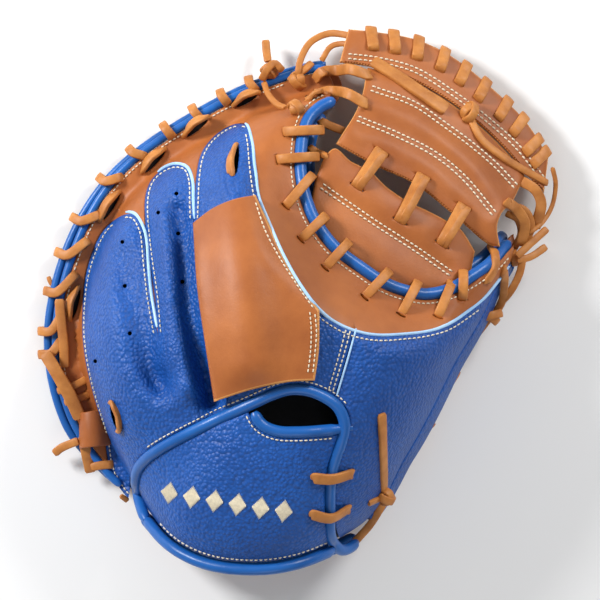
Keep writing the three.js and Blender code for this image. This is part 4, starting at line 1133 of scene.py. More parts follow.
def web_outlines():
    """The three panels of the web."""
    seam = spline(WEB_SEAM, LINE_STEP)
    bar = np.vstack([
        spline(WEB_EDGE, LINE_STEP)[:-1], spline(BAR_LEFT, LINE_STEP)[:-1], seam[:-1],
        spline(BAR_RIGHT, LINE_STEP)[:-1],
    ])
    below = offset(seam, -LAYER_GAP)
    below = below[(below[:, 0] > UPPER_LEFT[-1, 0]) & (below[:, 0] < UPPER_RIGHT[0, 0])]
    upper = np.vstack([below, cornered(UPPER_RIGHT, UPPER_BOTTOM, UPPER_LEFT)])
    return bar, upper, cornered(LOWER_TOP, LOWER_RIGHT, LOWER_BOTTOM, LOWER_LEFT)


# Double rows of stitches on the web, as places in the photograph, from the outer edge inwards
WEB_STITCHES = (
    ((348, 54), (376, 57), (415, 67), (453, 90), (491, 119), (520, 145), (549, 182)),
    ((371, 87), (415, 103), (443, 122), (472, 143), (497, 164), (518, 186)),
    ((357, 118), (396, 134), (434, 153), (463, 176), (495, 214)),
    ((321, 186), (376, 224), (415, 249), (451, 274)),
)
WEB_ROLL = 2.2
WEB_PUFF = 1.7
WEB_CUT = 0.6
# Half sizes of the slots at lace ends, and how far from its slot a lace's height is taken
WEB_SLOT = 4.6
END_SLOT = 0.8
SLOT_CLEAR = 3.5


def make_web(materials):
    bar, upper, lower = web_outlines()
    rows = [spline(spots(*places), LINE_STEP)[3:-3] for places in WEB_STITCHES]
    ties = [spots(*ends) for ends in WEB_TIES]
    upper_slots = [end_slot(a, b, WEB_SLOT) for a, b in ties]
    lower_slots = [end_slot(b, a, WEB_SLOT) for a, b in ties]
    seeds = plan((0.3, 0.46), (0.25, 0.35), (0.18, 0.16))
    panels = (
        ("web_bar", bar, bar_top, rows[:1], []), ("web_upper", upper, web_top, rows[1:3], upper_slots),
        ("web_lower", lower, web_top, rows[3:], lower_slots),
    )
    made = []
    for (name, outline, top, sewn, slots), seed in zip(panels, seeds):
        lines = [Line(row, False, 0, WEB_PUFF) for row in sewn] + slots
        layout = lay_out(Line(outline, True, WEB_ROLL, 0.3), lines)
        made.append(plate(
            f"{name}_leather", layout, [seed], top, web_height,
            [materials["tan"], materials["tan"], materials["tan_edge"]],
            painted=edge_paint(outline, WEB_CUT), replaces=[name], slot="tan_leather",
        ))
    return made


# Bindings and piping


def binding_height(x, y):
    rim = rim_at(x, y)
    return (rim["back"] + LEATHER + rim["palm"] - PALM_EDGE) / 2


def edge_middle(x, y):
    return back_height(x, y) - LEATHER / 2


def within_rim(line, least):
    return line[rim_at(line[:, 0], line[:, 1])["inside"] > least]


# The rim's two tubes, and how far each is from its binding's middle
RIM_TUBE = 4.6
RIM_TUBE_RISE = 1.5
# The insets of the rim's lower tube at the finger tips and at the side, and what its end adds
LOWER_TUBE_INSETS = (1.2, -1.4)
LOWER_TUBE_END = 4.5
CROTCH_TUBE = 6.8
PALM_TUBE_LOW = 6.5


def side_share(angle):
    """0 at the finger tips' rim and 1 at the little finger's side."""
    return smooth((angle - 130) / 40)


def lower_tube_inset(angle):
    """The rim's lower tube shows beside the upper one, and turns in under the little finger."""
    return lerp(*LOWER_TUBE_INSETS, side_share(angle)) + LOWER_TUBE_END * smooth((angle - 200) / 19)


# Where the opening's binding runs on to, from its first end and to its last
OPENING_START = ((145, 522), (140, 511), (136, 496))
OPENING_END = ((330, 533), (334, 544), (342, 551), (351, 549), (357, 544))


def make_bindings(materials):
    """Each binding as a tube. The rim's is two tubes: the back leather's over the palm's."""
    binding = materials["binding"]

    def bind(name, line, height, diameter):
        return tube_object(
            f"{name}_tube", with_height(line, height), diameter, binding,
            replaces=[name], slot="blue_binding",
        )

    upper = rim_line(84, 219, lambda angle: edge_at(angle) - 0.5 * RIM_TUBE)
    lower = rim_line(84, 219, lower_tube_inset)
    shown = [
        bind("rim_binding", upper, lambda x, y: binding_height(x, y) + RIM_TUBE_RISE, RIM_TUBE),
        tube_object(
            "rim_binding_palm_tube", with_height(lower, lambda x, y: binding_height(x, y) - RIM_TUBE_RISE),
            RIM_TUBE, binding, slot="blue_binding",
        ),
        bind("thumb_binding", rim_line(292, 376, beside_leather(WELT)), binding_height, WELT),
        bind(
            "heel_binding", rim_line(228, 286, beside_leather(BINDING)),
            lambda x, y: rim_at(x, y)["palm"] - PALM_EDGE / 2, BINDING,
        ),
        bind(
            "strap_bottom_binding", rim_line(229, 279, beside_leather(STRAP_BINDING)),
            lambda x, y: rim_at(x, y)["back"] + LEATHER / 2, STRAP_BINDING,
        ),
    ]
    arch_line = within_rim(spline(OPENING_EDGE, LINE_STEP), (BINDING + STRAP_BINDING) / 2 + 2 * LEATHER)
    ends = spots(*OPENING_START), spots(*OPENING_END)
    opening = spline(np.vstack([ends[0], arch_line[4:-4:6], ends[1]]), LINE_STEP)
    shown.append(bind(
        "opening_binding", opening,
        lambda x, y: np.maximum(edge_middle(x, y), rim_at(x, y)["back"] + LEATHER), STRAP_BINDING,
    ))
    strap_top = spline(STRAP_TOP, LINE_STEP)
    clear = line_distance(strap_top, opening) > 0.6 * STRAP_BINDING
    shown.append(bind("strap_top_binding", strap_top[clear], edge_middle, STRAP_BINDING))
    crotch = part_of(CROTCH, 0.085, 1)
    shown.append(bind("crotch_binding_back", within_rim(crotch, BINDING), crotch_back_height, CROTCH_TUBE))
    palm_line = part_of(within_rim(offset(CROTCH, BINDING * PALM_TUCK), BINDING), 0.1, 1)
    shown.append(bind(
        "crotch_binding_palm", palm_line,
        lambda x, y: np.maximum(crotch_palm_height(x, y), PALM_TUBE_LOW), CROTCH_TUBE,
    ))
    return shown


# How far the gusset runs on past both leathers
GUSSET_LAP = 1


def make_gusset(materials):
    """The seam that closes the thumb's side between the back leather and the palm."""
    line = rim_line(291, 376, in_leather(1.5))
    low = rim_at(line[:, 0], line[:, 1])["palm"] - GUSSET_LAP
    high = back_under(line[:, 0], line[:, 1]) + GUSSET_LAP
    way = np.gradient(line, axis=0)
    faces = np.column_stack([way[:, 1], -way[:, 0], np.zeros(len(way))])
    path = np.column_stack([line, (low + high) / 2])
    verts, quads = swept(path, faces, lace_section(1, 0.16, 0.06), np.maximum(high - low, 2))
    return make_object("thumb_gusset", verts, quads, [materials["blue"]], slot="blue_leather")


# Diameters of the pipings
BACK_PIPING = 1.9
STALL_PIPING = 2.0
THUMB_PIPING = 1.2


def make_piping(ground, materials):
    """The light piping beside the index finger and round the crotch, and thinner ones in the seams."""
    outer = part_of(offset(spline(OUTER_SEAM, LINE_STEP), 0.8), 0.71, 0.985)
    middle = part_of(spline(MIDDLE_SEAM, LINE_STEP), 0.65, 1)
    main = part_of(within_rim(spline(PIPING_LINE, LINE_STEP), BACK_PIPING), 0.055, 1)
    thumb = offset(spline(THUMB_SEAM, LINE_STEP), 0.8)
    thumb = thumb[line_distance(thumb, spline(OPENING_EDGE, LINE_STEP)) > STRAP_BINDING / 2]
    rows = (
        ("back_piping", main, BACK_PIPING),
        ("outer_stall_piping", outer, STALL_PIPING), ("middle_stall_piping", middle, STALL_PIPING),
        ("thumb_piping", thumb, THUMB_PIPING),
    )
    for name, line, diameter in rows:
        points, faces = ground.over(line, diameter * 0.25, soften=14)
        tube_object(
            f"{name}_tube", points, diameter, materials["piping"], faces=faces, sides=10,
            replaces=["back_piping"] if name == "back_piping" else (), slot="light_piping",
        )


# Laces

LACE_STEP = 1.3
# The height of a lace where the ground has none
NO_GROUND = 20


def lace(path, width=LACE_WIDTH, thickness=LACE_THICKNESS):
    """A flat lace through (x, y, z, face x, face y, face z) rows."""
    even = spline(path, LACE_STEP)
    widths = np.ones(len(even))
    widths[0] = widths[-1] = 0.8
    wobble = np.convolve([random.uniform(-1, 1) for _ in range(len(even) + 8)], np.ones(9) / 9, "valid")
    return swept(even[:, :3], even[:, 3:], lace_section(width, thickness), widths * (1 + 0.1 * wobble))


def lace_object(name, parts, materials, replaced=()):
    """Laces as one object, in place of the part's piece if there is one."""
    verts, faces = joined(parts)
    return make_object(name, verts, faces, [materials["lace"]], replaces=replaced, slot="rawhide_lace")


# Laces round the rim in the photograph: where each crosses the binding, and its slot in the leather
RIM_LACES = (
    ((246, 77), (255, 87)), ((217, 89), (226, 100)), ((187.5, 103.5), (198, 115)),
    ((159, 123), (170, 134)), ((124, 147), (142.5, 154)), ((96, 178), (118.5, 175.5)),
    ((70, 219), (96.7, 213.5)), ((54, 254), (84, 240)), ((47, 294), (72.5, 274)),
    ((42, 334), (60.5, 311)), ((44, 357), (58, 341)),
)
RIM_LACE_WIDTH = 5.2
# How far out the laces stand at the finger tips and at the side
RIM_SPREAD = (-0.8, 1.6)


def make_rim_laces(ground, materials):
    parts = []
    for crossing, slot in RIM_LACES:
        out, inner = spots(crossing, slot)
        angle = math.degrees(math.atan2(out[1] / LENGTH, out[0] / WIDTH))
        edge = rim_line(angle - 0.5, angle + 0.5)[0]
        spread = lerp(*RIM_SPREAD, float(side_share(angle % 360)))
        out_way = unit(edge)
        z = float(binding_height(*edge[:, None])[0])
        reach = RIM_TUBE / 2 + RIM_TUBE_RISE + LACE_THICKNESS / 2 + CLEARANCE
        top, _ = ground.at(*inner)
        toward = unit(edge - inner)
        outer = edge + out_way * (reach * 0.72 + spread)
        rows = [
            (*inner, top[2] - 5, *(-toward), 0),
            (*inner, top[2] - 0.5, *(-0.7 * toward), 0.7),
            (*(inner + toward * 1.6), top[2] + LACE_THICKNESS / 2 + 0.7, *(0.1 * out_way), 1),
            (*(edge - out_way * 0.3 * spread), z + reach + 0.3, *(0.25 * out_way), 1),
            (*outer, z + reach * 0.4, *out_way, 0.6),
            (*outer, z - reach * 0.5, *out_way, -0.6),
            (*edge, z - reach - 0.2, *(0.2 * out_way), -1),
            (*(edge - out_way * 9), z - reach + 0.6, 0, 0, -1),
        ]
        parts.append(lace(rows, width=RIM_LACE_WIDTH))
    return lace_object("rim_lace_strips", parts, materials, ["rim_lace"])


# Laces over the crotch's binding: the end in the back leather, and the end at the web
CROTCH_LACES = (
    ((285, 132), (322, 130)), ((278, 160), (317, 157)), ((286, 207), (312, 176)),
    ((301, 240), (325, 217)), ((325, 268), (348, 243)), ((364, 297), (388, 272)),
    ((400, 314), (417, 283)), ((437, 316), (451, 283)), ((462, 299), (463, 272)),
)
CROTCH_LACE_WIDTH = 5.4


def make_crotch_laces(ground, materials):
    parts = []
    for slot, end in CROTCH_LACES:
        a, b = spots(slot, end)
        away = line_distance(np.array([lerp(a, b, t) for t in np.linspace(0, 1, 21)]), CROTCH)
        over = lerp(a, b, np.argmin(away) / 20)
        z = float(crotch_back_height(*over[:, None])[0]) + BINDING / 2 + LACE_THICKNESS / 2 + 0.3
        way = unit(b - a)
        start, _ = ground.at(*(a + way * SLOT_CLEAR))
        low = max(float(crotch_back_height(*b[:, None])[0]), z - 9)
        rows = [
            (*a, start[2] - 4.5, *(-way), 0),
            (*a, start[2] - 0.4, *(-0.7 * way), 0.7),
            (*(a + way * 1.5), start[2] + LACE_THICKNESS / 2 + 0.5, *(-0.15 * way), 1),
            (*over, z + 0.5, 0, 0, 1),
            (*(b - way * 1.4), max(low + 2.5, z - 3.5), *(0.6 * way), 0.7),
            (*(b + way * 0.3), low - 3, *way, 0.1),
            (*(b - way * 0.5), low - 8, *way, -0.2),
        ]
        parts.append(lace(rows, width=CROTCH_LACE_WIDTH))
    return lace_object("crotch_lace_strips", parts, materials, ["crotch_lace"])


# Places along the web's outer edge that its lace goes over
WEB_LACES = spots(
    (372, 26), (396, 30), (421, 37), (446, 49), (467, 64), (489, 82), (508, 100), (524, 118),
    (540, 137), (550, 150),
)
WEB_LACE_WIDTH = 6.4
WEB_TIE_WIDTH = 5
# How far the web's laces lean along its edge for each millimetre inward
LEAN = 0.24


def make_web_laces(ground, materials):
    edge = spline(WEB_EDGE, LINE_STEP)
    parts = []
    for place in WEB_LACES:
        k = int(np.argmin(np.linalg.norm(edge - place, axis=1)))
        k = min(max(k, 1), len(edge) - 2)
        along = unit(edge[k + 1] - edge[k - 1])
        out = -left_of(along)
        top, _ = ground.at(*(edge[k] - out * 10 - along * LEAN * 10), default=NO_GROUND)
        low = float(web_height(*edge[k][:, None])[0])
        high = low + WEB_BAR_THICKNESS

        def row(inward, z, face_out, face_up):
            return (*(edge[k] - (out + along * LEAN) * inward), z, *(out * face_out), face_up)

        rows = [
            row(10, top[2] - 4, -1, 0),
            row(10, top[2] - 0.3, -0.7, 0.7),
            row(8.4, top[2] + LACE_THICKNESS / 2 + 0.5, -0.1, 1),
            row(3, high + 1.7, 0.15, 1),
            row(-1.2, high - 0.6, 0.7, 0.7),
            row(-1.4, low + 0.6, 0.7, -0.7),
            row(1.5, low - 1.6, 0, -1),
            row(7, low - 1.2, 0, -1),
        ]
        parts.append(lace(rows, width=WEB_LACE_WIDTH))
    return lace_object("web_edge_lace_strips", parts, materials, ["web_edge_lace"])


# An arched lace: share of the way, height in millimetres, share of the bow, share of the face upward
ARCH = (
    (0, -4.5, 0, 0.2), (0.06, 0.4, 0.35, 0.35), (0.3, 2.6, 0.85, 0.5), (0.5, 2.99, 1, 0.5),
    (0.7, 2.6, 0.85, 0.5), (0.94, 0.4, 0.35, 0.35), (1, -4.5, 0, 0.2),
)
ARCH_BOW = 2.4


def arch(ground, a, b, side):
    """A lace that comes out at a, arches to its left and goes in again at b."""
    way = unit(b - a)
    left = left_of(way) * side
    ends = [ground.at(*(p + left * 1.5), default=NO_GROUND)[0][2] for p in (a, b)]
    rows = []
    for t, up, out, turn in ARCH:
        p = lerp(a, b, t) + left * ARCH_BOW * out
        end_turn = way * {0: -1, 1: 1}.get(t, 0)
        rows.append((*p, lerp(*ends, t) + up, *(left * (1 - turn) + end_turn), turn))
    return lace(rows, width=RIM_LACE_WIDTH)


def make_flange_ties(ground, materials):
    for name, a, b, side in FLANGE_TIES:
        lace_object(f"{name}_lace", [arch(ground, *spots(a, b), side)], materials, [name])


def pulled_tight(rows, least):
    """Heights along rows of a lace that is nowhere lower than least and bridges each hollow."""
    away = np.linalg.norm(np.diff(rows[:, :2], axis=0), axis=1)
    along = np.concatenate([[0], np.cumsum(away)])
    heights = least.copy()
    for start in range(len(rows)):
        for end in range(start + 2, len(rows)):
            t = (along[start + 1:end] - along[start]) / (along[end] - along[start])
            line = lerp(least[start], least[end], t)
            heights[start + 1:end] = np.maximum(heights[start + 1:end], line)
    return heights


LACE_LIFT = LACE_THICKNESS / 2 + 0.15


def draped(ground, places, ends, width=LACE_WIDTH):
    """A lace over what is under it, through places in the photograph. A place with a third number
    is at that height instead, and one with nothing under it is as high as the nearest other place.
    ends are how far the ends sink."""
    marks = []
    for place in places:
        xy = spots(place[:2])[0]
        top, _ = ground.at(*xy, default=None)
        if len(place) == 3:
            marks.append([*xy, place[2], 0, 0, 1, 0])
        elif top is None:
            marks.append([*xy, None, 0, 0, 1, 0])
        else:
            face = ground.broad_face(*xy, 0.0)
            marks.append([*(top + face * LACE_LIFT), *face, 1])
    known = [k for k, mark in enumerate(marks) if mark[2] is not None]
    for k, mark in enumerate(marks):
        if mark[2] is None:
            mark[2] = marks[min(known, key=lambda j: abs(j - k))][2]
    rows = spline(marks, 1.6)
    laid = rows[:, 6] > 0.97
    least = rows[:, 2].copy()
    for k in np.flatnonzero(laid):
        top, _ = ground.at(*rows[k, :2], default=None)
        if top is not None:
            least[k] = top[2] + 0.9 * LACE_LIFT
    rows[laid, 2] = pulled_tight(rows, least)[laid]
    rows = rows[:, :6]
    way = unit_rows(np.gradient(rows[:, :3], axis=0))
    first, last = rows[0].copy(), rows[-1].copy()
    first[2] -= ends[0]
    first[3:] = -way[0]
    last[2] -= ends[1]
    last[3:] = way[-1]
    rows = np.vstack([*([first] if ends[0] else []), rows, *([last] if ends[1] else [])])
    return lace(rows, width)


KNOT_WIDTH = 4.8
KNOT_THICKNESS = 2.0


def knot(place, along, face, size):
    """Two crossed turns of lace round a point."""
    along = unit(along)
    side = np.cross(face, along)
    parts = []
    for tilt, grow in ((-0.5, 1.0), (0.45, 1.22)):
        axis = along * math.cos(tilt) + side * math.sin(tilt)
        across = np.cross(face, axis)
        rows = []
        for turn in np.linspace(-0.3, 2 * math.pi - 0.6, 13):
            out = across * math.cos(turn) + face * math.sin(turn)
            rows.append((*(place + out * size * grow * (1 if abs(out @ face) < 0.5 else 0.85)), *out))
        parts.append(lace(rows, width=KNOT_WIDTH, thickness=KNOT_THICKNESS))
    return parts


# Laces with both ends in slots, as places in the photograph
TIES = (
    ("strap_tie_1", ((313, 474), (331, 475), (349, 470)), (4, 4)),
    ("strap_tie_2", ((311, 510), (330, 514), (346, 506)), (4, 4)),
    ("side_tie_1", ((316, 76), (322, 70), (338, 67), (352, 68), (369, 75)), (1, 4)),
    ("side_tie_2", ((309, 100), (319, 92), (334, 89), (350, 94), (366, 104)), (2, 4)),
    ("thumb_tie_1", ((507, 202), (519, 209, 27), (527, 222, 25), (524, 243, 22)), (4, 3)),
    ("thumb_tie_2", ((526, 181), (537, 188, 25), (544, 202, 22), (539, 225, 17)), (4, 2)),
)


def make_ties(ground, materials):
    for name, places, ends in TIES:
        lace_object(f"{name}_lace", [draped(ground, places, ends)], materials, [name])


def make_web_ties(ground, materials):
    """Doubled laces that draw the upper and lower web panels together."""
    for k, (a, b) in enumerate(WEB_TIES):
        a, b = spots(a, b)
        way = unit(b - a)
        side = left_of(way)
        parts = []
        for twist in (-1, 1):
            start, end = a + side * 1.7 * twist, b + side * 1.1 * twist
            inside = start + way * SLOT_CLEAR, end - way * SLOT_CLEAR
            z0, z1 = (ground.at(*p, default=NO_GROUND)[0][2] for p in inside)
            up = 1.4 + 1.1 * (twist > 0)
            rows = [
                (*start, z0 - 4.5, *(-way), 0),
                (*start, z0 + 0.4, *(-0.7 * way), 0.7),
                (*lerp(start, end, 0.2), z0 + up + 0.6, *(0.2 * side * twist), 1),
                (*lerp(start, end, 0.5), (z0 + z1) / 2 + up + 1.2, *(0.35 * side * twist), 1),
                (*lerp(start, end, 0.8), z1 + up + 0.6, *(0.2 * side * twist), 1),
                (*end, z1 + 0.4, *(0.7 * way), 0.7),
                (*end, z1 - 4.5, *way, 0),
            ]
            parts.append(lace(rows, width=WEB_TIE_WIDTH))
        lace_object(f"web_tie_{k + 1}_lace", parts, materials, [f"web_tie_{k + 1}"])


# Loose laces and knots. A row is the lace's width, its places in the photograph and how far its
# ends sink; a place's third number is a height. Knots are a place, its height over what is under it
# and a place that it points to.
Loose = namedtuple("Loose", "width places ends")
Knot = namedtuple("Knot", "place rise toward size")
TOP_LACES = (
    Loose(3.8, ((298, 70, 16), (300, 58, 15), (310, 39, 13), (329, 29.5, 13), (352, 32, 17)), (3, 0)),
    Loose(3.2, ((323, 55, 14), (331, 43, 14), (341, 40, 15), (353, 41.5, 18)), (3, 0)),
    Loose(4.6, ((265, 36, 9), (266, 48, 11), (267.5, 58, 14)), (0, 0)),
    Loose(4.2, ((262, 75, 16), (267, 66, 19), (274, 60, 18), (281, 66, 17)), (2, 2)),
    Loose(3.4, ((264, 81), (268, 92), (276, 103), (286, 109)), (3, 0)),
    Loose(4.4, ((289, 78), (296, 72), (306, 66), (312, 60)), (0, 0)),
    Loose(4.6, ((321, 121), (329, 124), (344, 130)), (3, 3)),
    Loose(4.2, ((310, 148), (317, 152), (325, 157)), (3, 3)),
)
TOP_KNOTS = (
    Knot((270, 71), 2.4, (280, 64), 3.7), Knot((297, 73), 2.6, (308, 66), 4.4),
    Knot((297, 111), 2.4, (310, 105), 3.7),
)
THUMB_SIDE_LACES = (
    Loose(4.8, ((491, 247), (495, 257), (493, 268), (485, 281)), (1, 3)),
    Loose(4.4, ((525, 259), (522, 273), (513, 291, 24), (503, 303, 18)), (3, 0)),
    Loose(4.2, ((519, 256, 27), (533, 243, 24), (550, 228, 20)), (0, 0)),
    Loose(4.2, ((519, 260, 26), (534, 256, 22), (549, 246, 18)), (0, 0)),
    Loose(2.6, ((556, 166, 17), (559.5, 182, 14), (556, 204, 14), (546, 221, 17), (534, 231, 22)), (0, 3)),
    Loose(4.6, ((503, 268), (506, 284, 30), (505, 300, 20), (497, 316, 15)), (4, 0)),
    Loose(4.4, ((517, 205, 22), (528, 210, 22), (534, 224, 21), (530, 240, 20)), (2, 2)),
    Loose(4.0, ((511, 213, 19), (520, 218, 19), (524, 232, 18), (518, 246, 18)), (2, 2)),
)
THUMB_SIDE_KNOTS = (Knot((517, 257), 2.0, (530, 244), 3.8),)
HEEL_LACES = (
    Loose(5.4, ((56, 299, 17), (57.5, 318, 17), (60.5, 345, 17), (61, 368, 14)), (0, 0)),
    Loose(7.4, ((42, 354, 19), (54, 374, 21), (66, 395, 20), (77, 420, 17)), (0, 0)),
    Loose(4.6, ((50, 456, 9), (58, 450, 11), (75, 443, 15)), (0, 0)),
    Loose(6.2, ((80, 438, 14), (83, 456, 12), (87, 475, 8)), (0, 0)),
    Loose(4.8, ((88, 470, 12), (97, 468, 13), (108, 467, 13)), (0, 2)),
    Loose(4.2, ((62, 404, 13), (72, 401, 15), (86, 396, 13)), (2, 2)),
    Loose(4.0, ((56, 392, 15), (68, 388, 17), (82, 381, 15)), (2, 2)),
    Loose(2.6, ((51, 287, 8), (46, 282, 8), (44, 276, 8)), (0, 0)),
    Loose(3.0, ((119, 499, 16), (124, 503, 14)), (1, 1)),
)
# The laces that the part's source has too
WEB_BAR_LACE = (
    Loose(7.8, ((373, 60), (392, 72), (417, 89), (447, 109)), (0, 0)),
    Loose(4.0, ((471, 117), (482, 138), (505, 157), (528, 170), (548, 181)), (0, 3)),
)
WEB_BAR_KNOT = Knot((468, 114), 2.6, (478, 124), 5.2)
HEEL_LACE = (
    Loose(5.2, ((379, 411), (380, 437), (381, 462), (382, 488)), (0, 0)),
    Loose(4.4, ((384, 500), (379, 513, 34), (370, 528, 26), (357, 543, 22)), (0, 2)),
    Loose(3.8, ((378, 497), (372, 499), (367, 501)), (0, 1)),
)
HEEL_KNOT = Knot((382, 495), 2.0, (374, 498), 4.8)
THUMB_LACE = (
    Loose(4.4, ((492, 318, 20), (478, 336, 17), (463, 357, 15), (450, 383, 14), (446, 397, 12)), (0, 0)),
    Loose(3.6, ((461, 372, 13), (451, 388, 12), (443, 399, 12)), (0, 0)),
    Loose(4.0, ((436, 424, 11), (424, 436, 11), (416, 452, 12), (407, 468, 12)), (0, 0)),
)
THUMB_KNOT = Knot((492, 316), 5.0, (489, 330), 5.2)
# The heel's loop of leather: places across it, their heights and how far each is turned outward
HEEL_LOOP = (
    ((105, 428), 13, -15), ((101, 429), 18.5, 0), ((94, 430), 22, 5), ((86, 431), 22, 20),
    ((80, 432), 18.5, 55), ((78, 433), 13, 90), ((81, 434), 8, 120),
)
HEEL_LOOP_WIDTH = 20


def knot_at(ground, row):
    place, toward = spots(row.place, row.toward)
    top, face = ground.at(*place, default=16.0)
    way = np.array([*(toward - place), 0.0])
    return knot(top + face * row.rise, way - face * (way @ face), face, row.size)


def make_loose_laces(ground, materials):
    """Loose laces and knots, several to an object, and the heel's loop."""
    bundles = (
        ("top_laces", TOP_LACES, TOP_KNOTS, ()),
        ("thumb_side_laces", THUMB_SIDE_LACES, THUMB_SIDE_KNOTS, ()),
        ("left_heel_laces", HEEL_LACES, (), ()),
        ("web_bar_lace", WEB_BAR_LACE, [WEB_BAR_KNOT], ["web_bar_tie"]),
        ("heel_lace_strips", HEEL_LACE, [HEEL_KNOT], ["heel_lace"]),
        ("thumb_lace_strips", THUMB_LACE, [THUMB_KNOT], ["thumb_lace"]),
    )
    for name, loose, knots, replaced in bundles:
        parts = [draped(ground, row.places, row.ends, row.width) for row in loose]
        for row in knots:
            parts += knot_at(ground, row)
        lace_object(name, parts, materials, replaced)
    rows = []
    for place, z, turn in HEEL_LOOP:
        turn = math.radians(turn)
        rows.append((*spots(place)[0], z, -math.sin(turn), 0, math.cos(turn)))
    verts, faces = lace(rows, width=HEEL_LOOP_WIDTH, thickness=2.2)
    make_object("heel_loop", verts, faces, [materials["tan"]], slot="tan_leather")


# Stitching


def thread_object(name, parts, material):
    verts, faces = joined(parts)
    make_object(name, verts, faces, [material])


def make_stitches(ground, materials):
    """The rows beside the seams, the bindings and the rim."""
    seams = [spline(seam, LINE_STEP) for seam in (OUTER_SEAM, MIDDLE_SEAM, INDEX_SEAM)]
    piping = spline(PIPING_LINE, LINE_STEP)[8:]
    opening = offset(spline(OPENING_EDGE, LINE_STEP), STRAP_BINDING / 2 + 1.4)
    strap_top = part_of(spline(STRAP_TOP, LINE_STEP), 0.12, 0.84)
    thumb = spline(THUMB_SEAM, LINE_STEP)
    rows = [
        *(offset(seam, -STITCH_INSET) for seam in seams),
        within_rim(offset(piping, -STITCH_INSET - 0.8), BINDING),
        part_of(opening, 0.14, 0.62),
        offset(strap_top, -STRAP_BINDING / 2 - 1.3),
        rim_line(232, 278, in_leather(1.6)),
        part_of(offset(CROTCH, -BINDING / 2 - 1.5), 0.1, 0.95),
        rim_line(94, 202, in_leather(1.5)),
        *(part_of(offset(thumb, away), 0.04, 0.86) for away in (-2.0, -4.4)),
    ]
    parts = [thread for row in rows for thread in stitch_row(ground, row)]
    thread_object("back_stitches", parts, materials["thread"])


PAD_STITCHES = (
    ((256, 204), (266, 233), (283.5, 265), (300, 290), (313, 308)),
    ((309.5, 311), (311, 330), (310, 352), (307.5, 371)),
    ((314.5, 313), (316, 330), (314.5, 352), (312.5, 371)),
)


def make_pad_stitches(ground, materials):
    parts = []
    for places in PAD_STITCHES:
        parts += stitch_row(ground, spline(spots(*places), LINE_STEP))
    thread_object("pad_stitches", parts, materials["thread"])


ROW_GAP = 2.7


def make_web_stitches(ground, materials):
    parts = []
    for places in WEB_STITCHES:
        line = spline(spots(*places), LINE_STEP)
        for side in (-1, 1):
            parts += stitch_row(ground, offset(line, side * ROW_GAP / 2), pitch=2.9, length=2.1, radius=0.48)
    thread_object("web_stitches", parts, materials["thread"])


# A plain row of diamonds in satin stitch across the wrist strap: its ends in the photograph
MOTIF_LINE = ((171, 491), (284, 507))
MOTIF_COUNT = 6
DIAMOND = (17, 22)
SATIN_PITCH = 0.62


def make_embroidery(ground, materials):
    start, end = spots(*MOTIF_LINE)
    along = unit(end - start)
    up = left_of(along)
    half_wide, half_high = DIAMOND[0] * PHOTO_SCALE / 2, DIAMOND[1] * PHOTO_SCALE / 2
    parts = []
    for middle in np.linspace(start, end, MOTIF_COUNT):
        for away in np.arange(-half_wide + SATIN_PITCH / 2, half_wide, SATIN_PITCH):
            reach = half_high * (1 - abs(away) / half_wide) + 0.3
            foot = middle + along * away
            low, face = ground.at(*(foot - up * reach))
            high, _ = ground.at(*(foot + up * reach))
            parts.append(capsule(low + face * 0.15, high + face * 0.15, 0.36, face))
    thread_object("strap_embroidery", parts, materials["embroidery"])


# The scene


def make_stage():
    bpy.ops.mesh.primitive_plane_add(size=6, location=(0, 0, -0.0002))
    floor = bpy.context.object
    floor.name = "floor"
    material, shader = new_material("floor_paper", 0.85)
    mottled(material, shader, (0.86, 0.86, 0.86), (0.88, 0.88, 0.88), 3)
    floor.data.materials.append(material)


LIGHT_TARGET = (0, 0, 0.05)


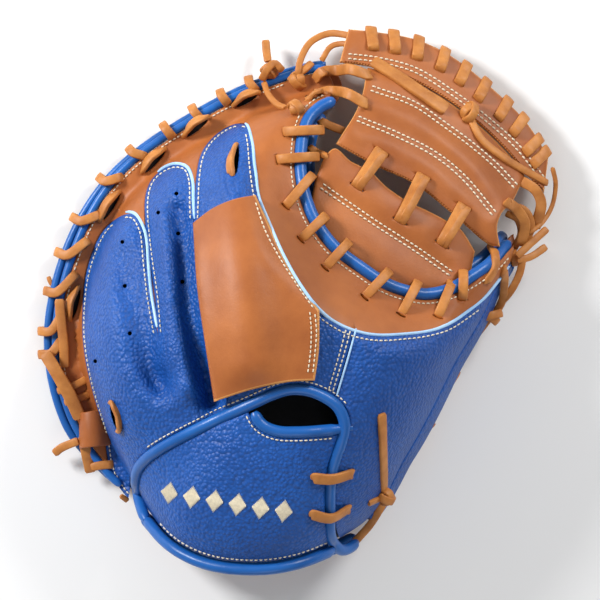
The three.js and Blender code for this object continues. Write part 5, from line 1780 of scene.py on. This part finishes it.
def area_light(name, place, size, power):
    light = bpy.data.lights.new(name, "AREA")
    light.shape = "DISK"
    light.size = size
    light.energy = power
    made = bpy.data.objects.new(name, light)
    made.location = place
    made.rotation_euler = (Vector(LIGHT_TARGET) - Vector(place)).to_track_quat("-Z", "Y").to_euler()
    bpy.context.scene.collection.objects.link(made)


def make_lights():
    area_light("key", (-1.05, 0.6, 0.8), 0.4, 23)
    area_light("second", (0.9, 0.95, 0.95), 0.5, 15)
    area_light("front", (0.1, -1.2, 0.9), 0.8, 3)
    world = bpy.data.worlds.new("studio")
    world.use_nodes = True
    world.node_tree.nodes["Background"].inputs["Color"].default_value = (1, 1, 1, 1)
    world.node_tree.nodes["Background"].inputs["Strength"].default_value = 0.36
    bpy.context.scene.world = world


LENS = 260
SENSOR = 36
PICTURE_PIXELS = 600
PICTURE_SIDE = PICTURE_PIXELS * PHOTO_SCALE / 1000
# How far the picture's middle is above the plan's
MIDDLE_UP = (PHOTO_MIDDLE[1] - PICTURE_PIXELS / 2) * PHOTO_SCALE
AIM = (PLAN_SHIFT[0] / 1000, (MIDDLE_UP + PLAN_SHIFT[1]) / 1000, 0.05)


def make_camera():
    camera = bpy.data.objects.new("camera", bpy.data.cameras.new("camera"))
    camera.data.lens = LENS
    camera.data.sensor_width = SENSOR
    camera.data.clip_start = 0.05
    camera.location = (AIM[0], AIM[1], AIM[2] + PICTURE_SIDE * LENS / SENSOR)
    bpy.context.scene.collection.objects.link(camera)
    bpy.context.scene.camera = camera


def main():
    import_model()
    materials = make_materials()
    back = make_back(materials)
    make_palm(materials)
    pad = make_index_pad(materials)
    web = make_web(materials)
    bindings = make_bindings(materials)
    make_gusset(materials)
    leather = Ground([*back, pad, *web])
    make_piping(leather, materials)
    make_stitches(Ground(back), materials)
    make_pad_stitches(leather, materials)
    make_web_stitches(leather, materials)
    make_embroidery(leather, materials)
    laced = [make(leather, materials) for make in (make_rim_laces, make_crotch_laces, make_web_laces)]
    make_flange_ties(leather, materials)
    make_web_ties(leather, materials)
    covered = Ground([*back, pad, *web, *bindings, *laced])
    make_ties(Ground([*back, pad, *web, *bindings]), materials)
    make_loose_laces(covered, materials)
    make_stage()
    make_lights()
    make_camera()
    bpy.context.scene.view_settings.view_transform = "Standard"
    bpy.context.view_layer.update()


main()
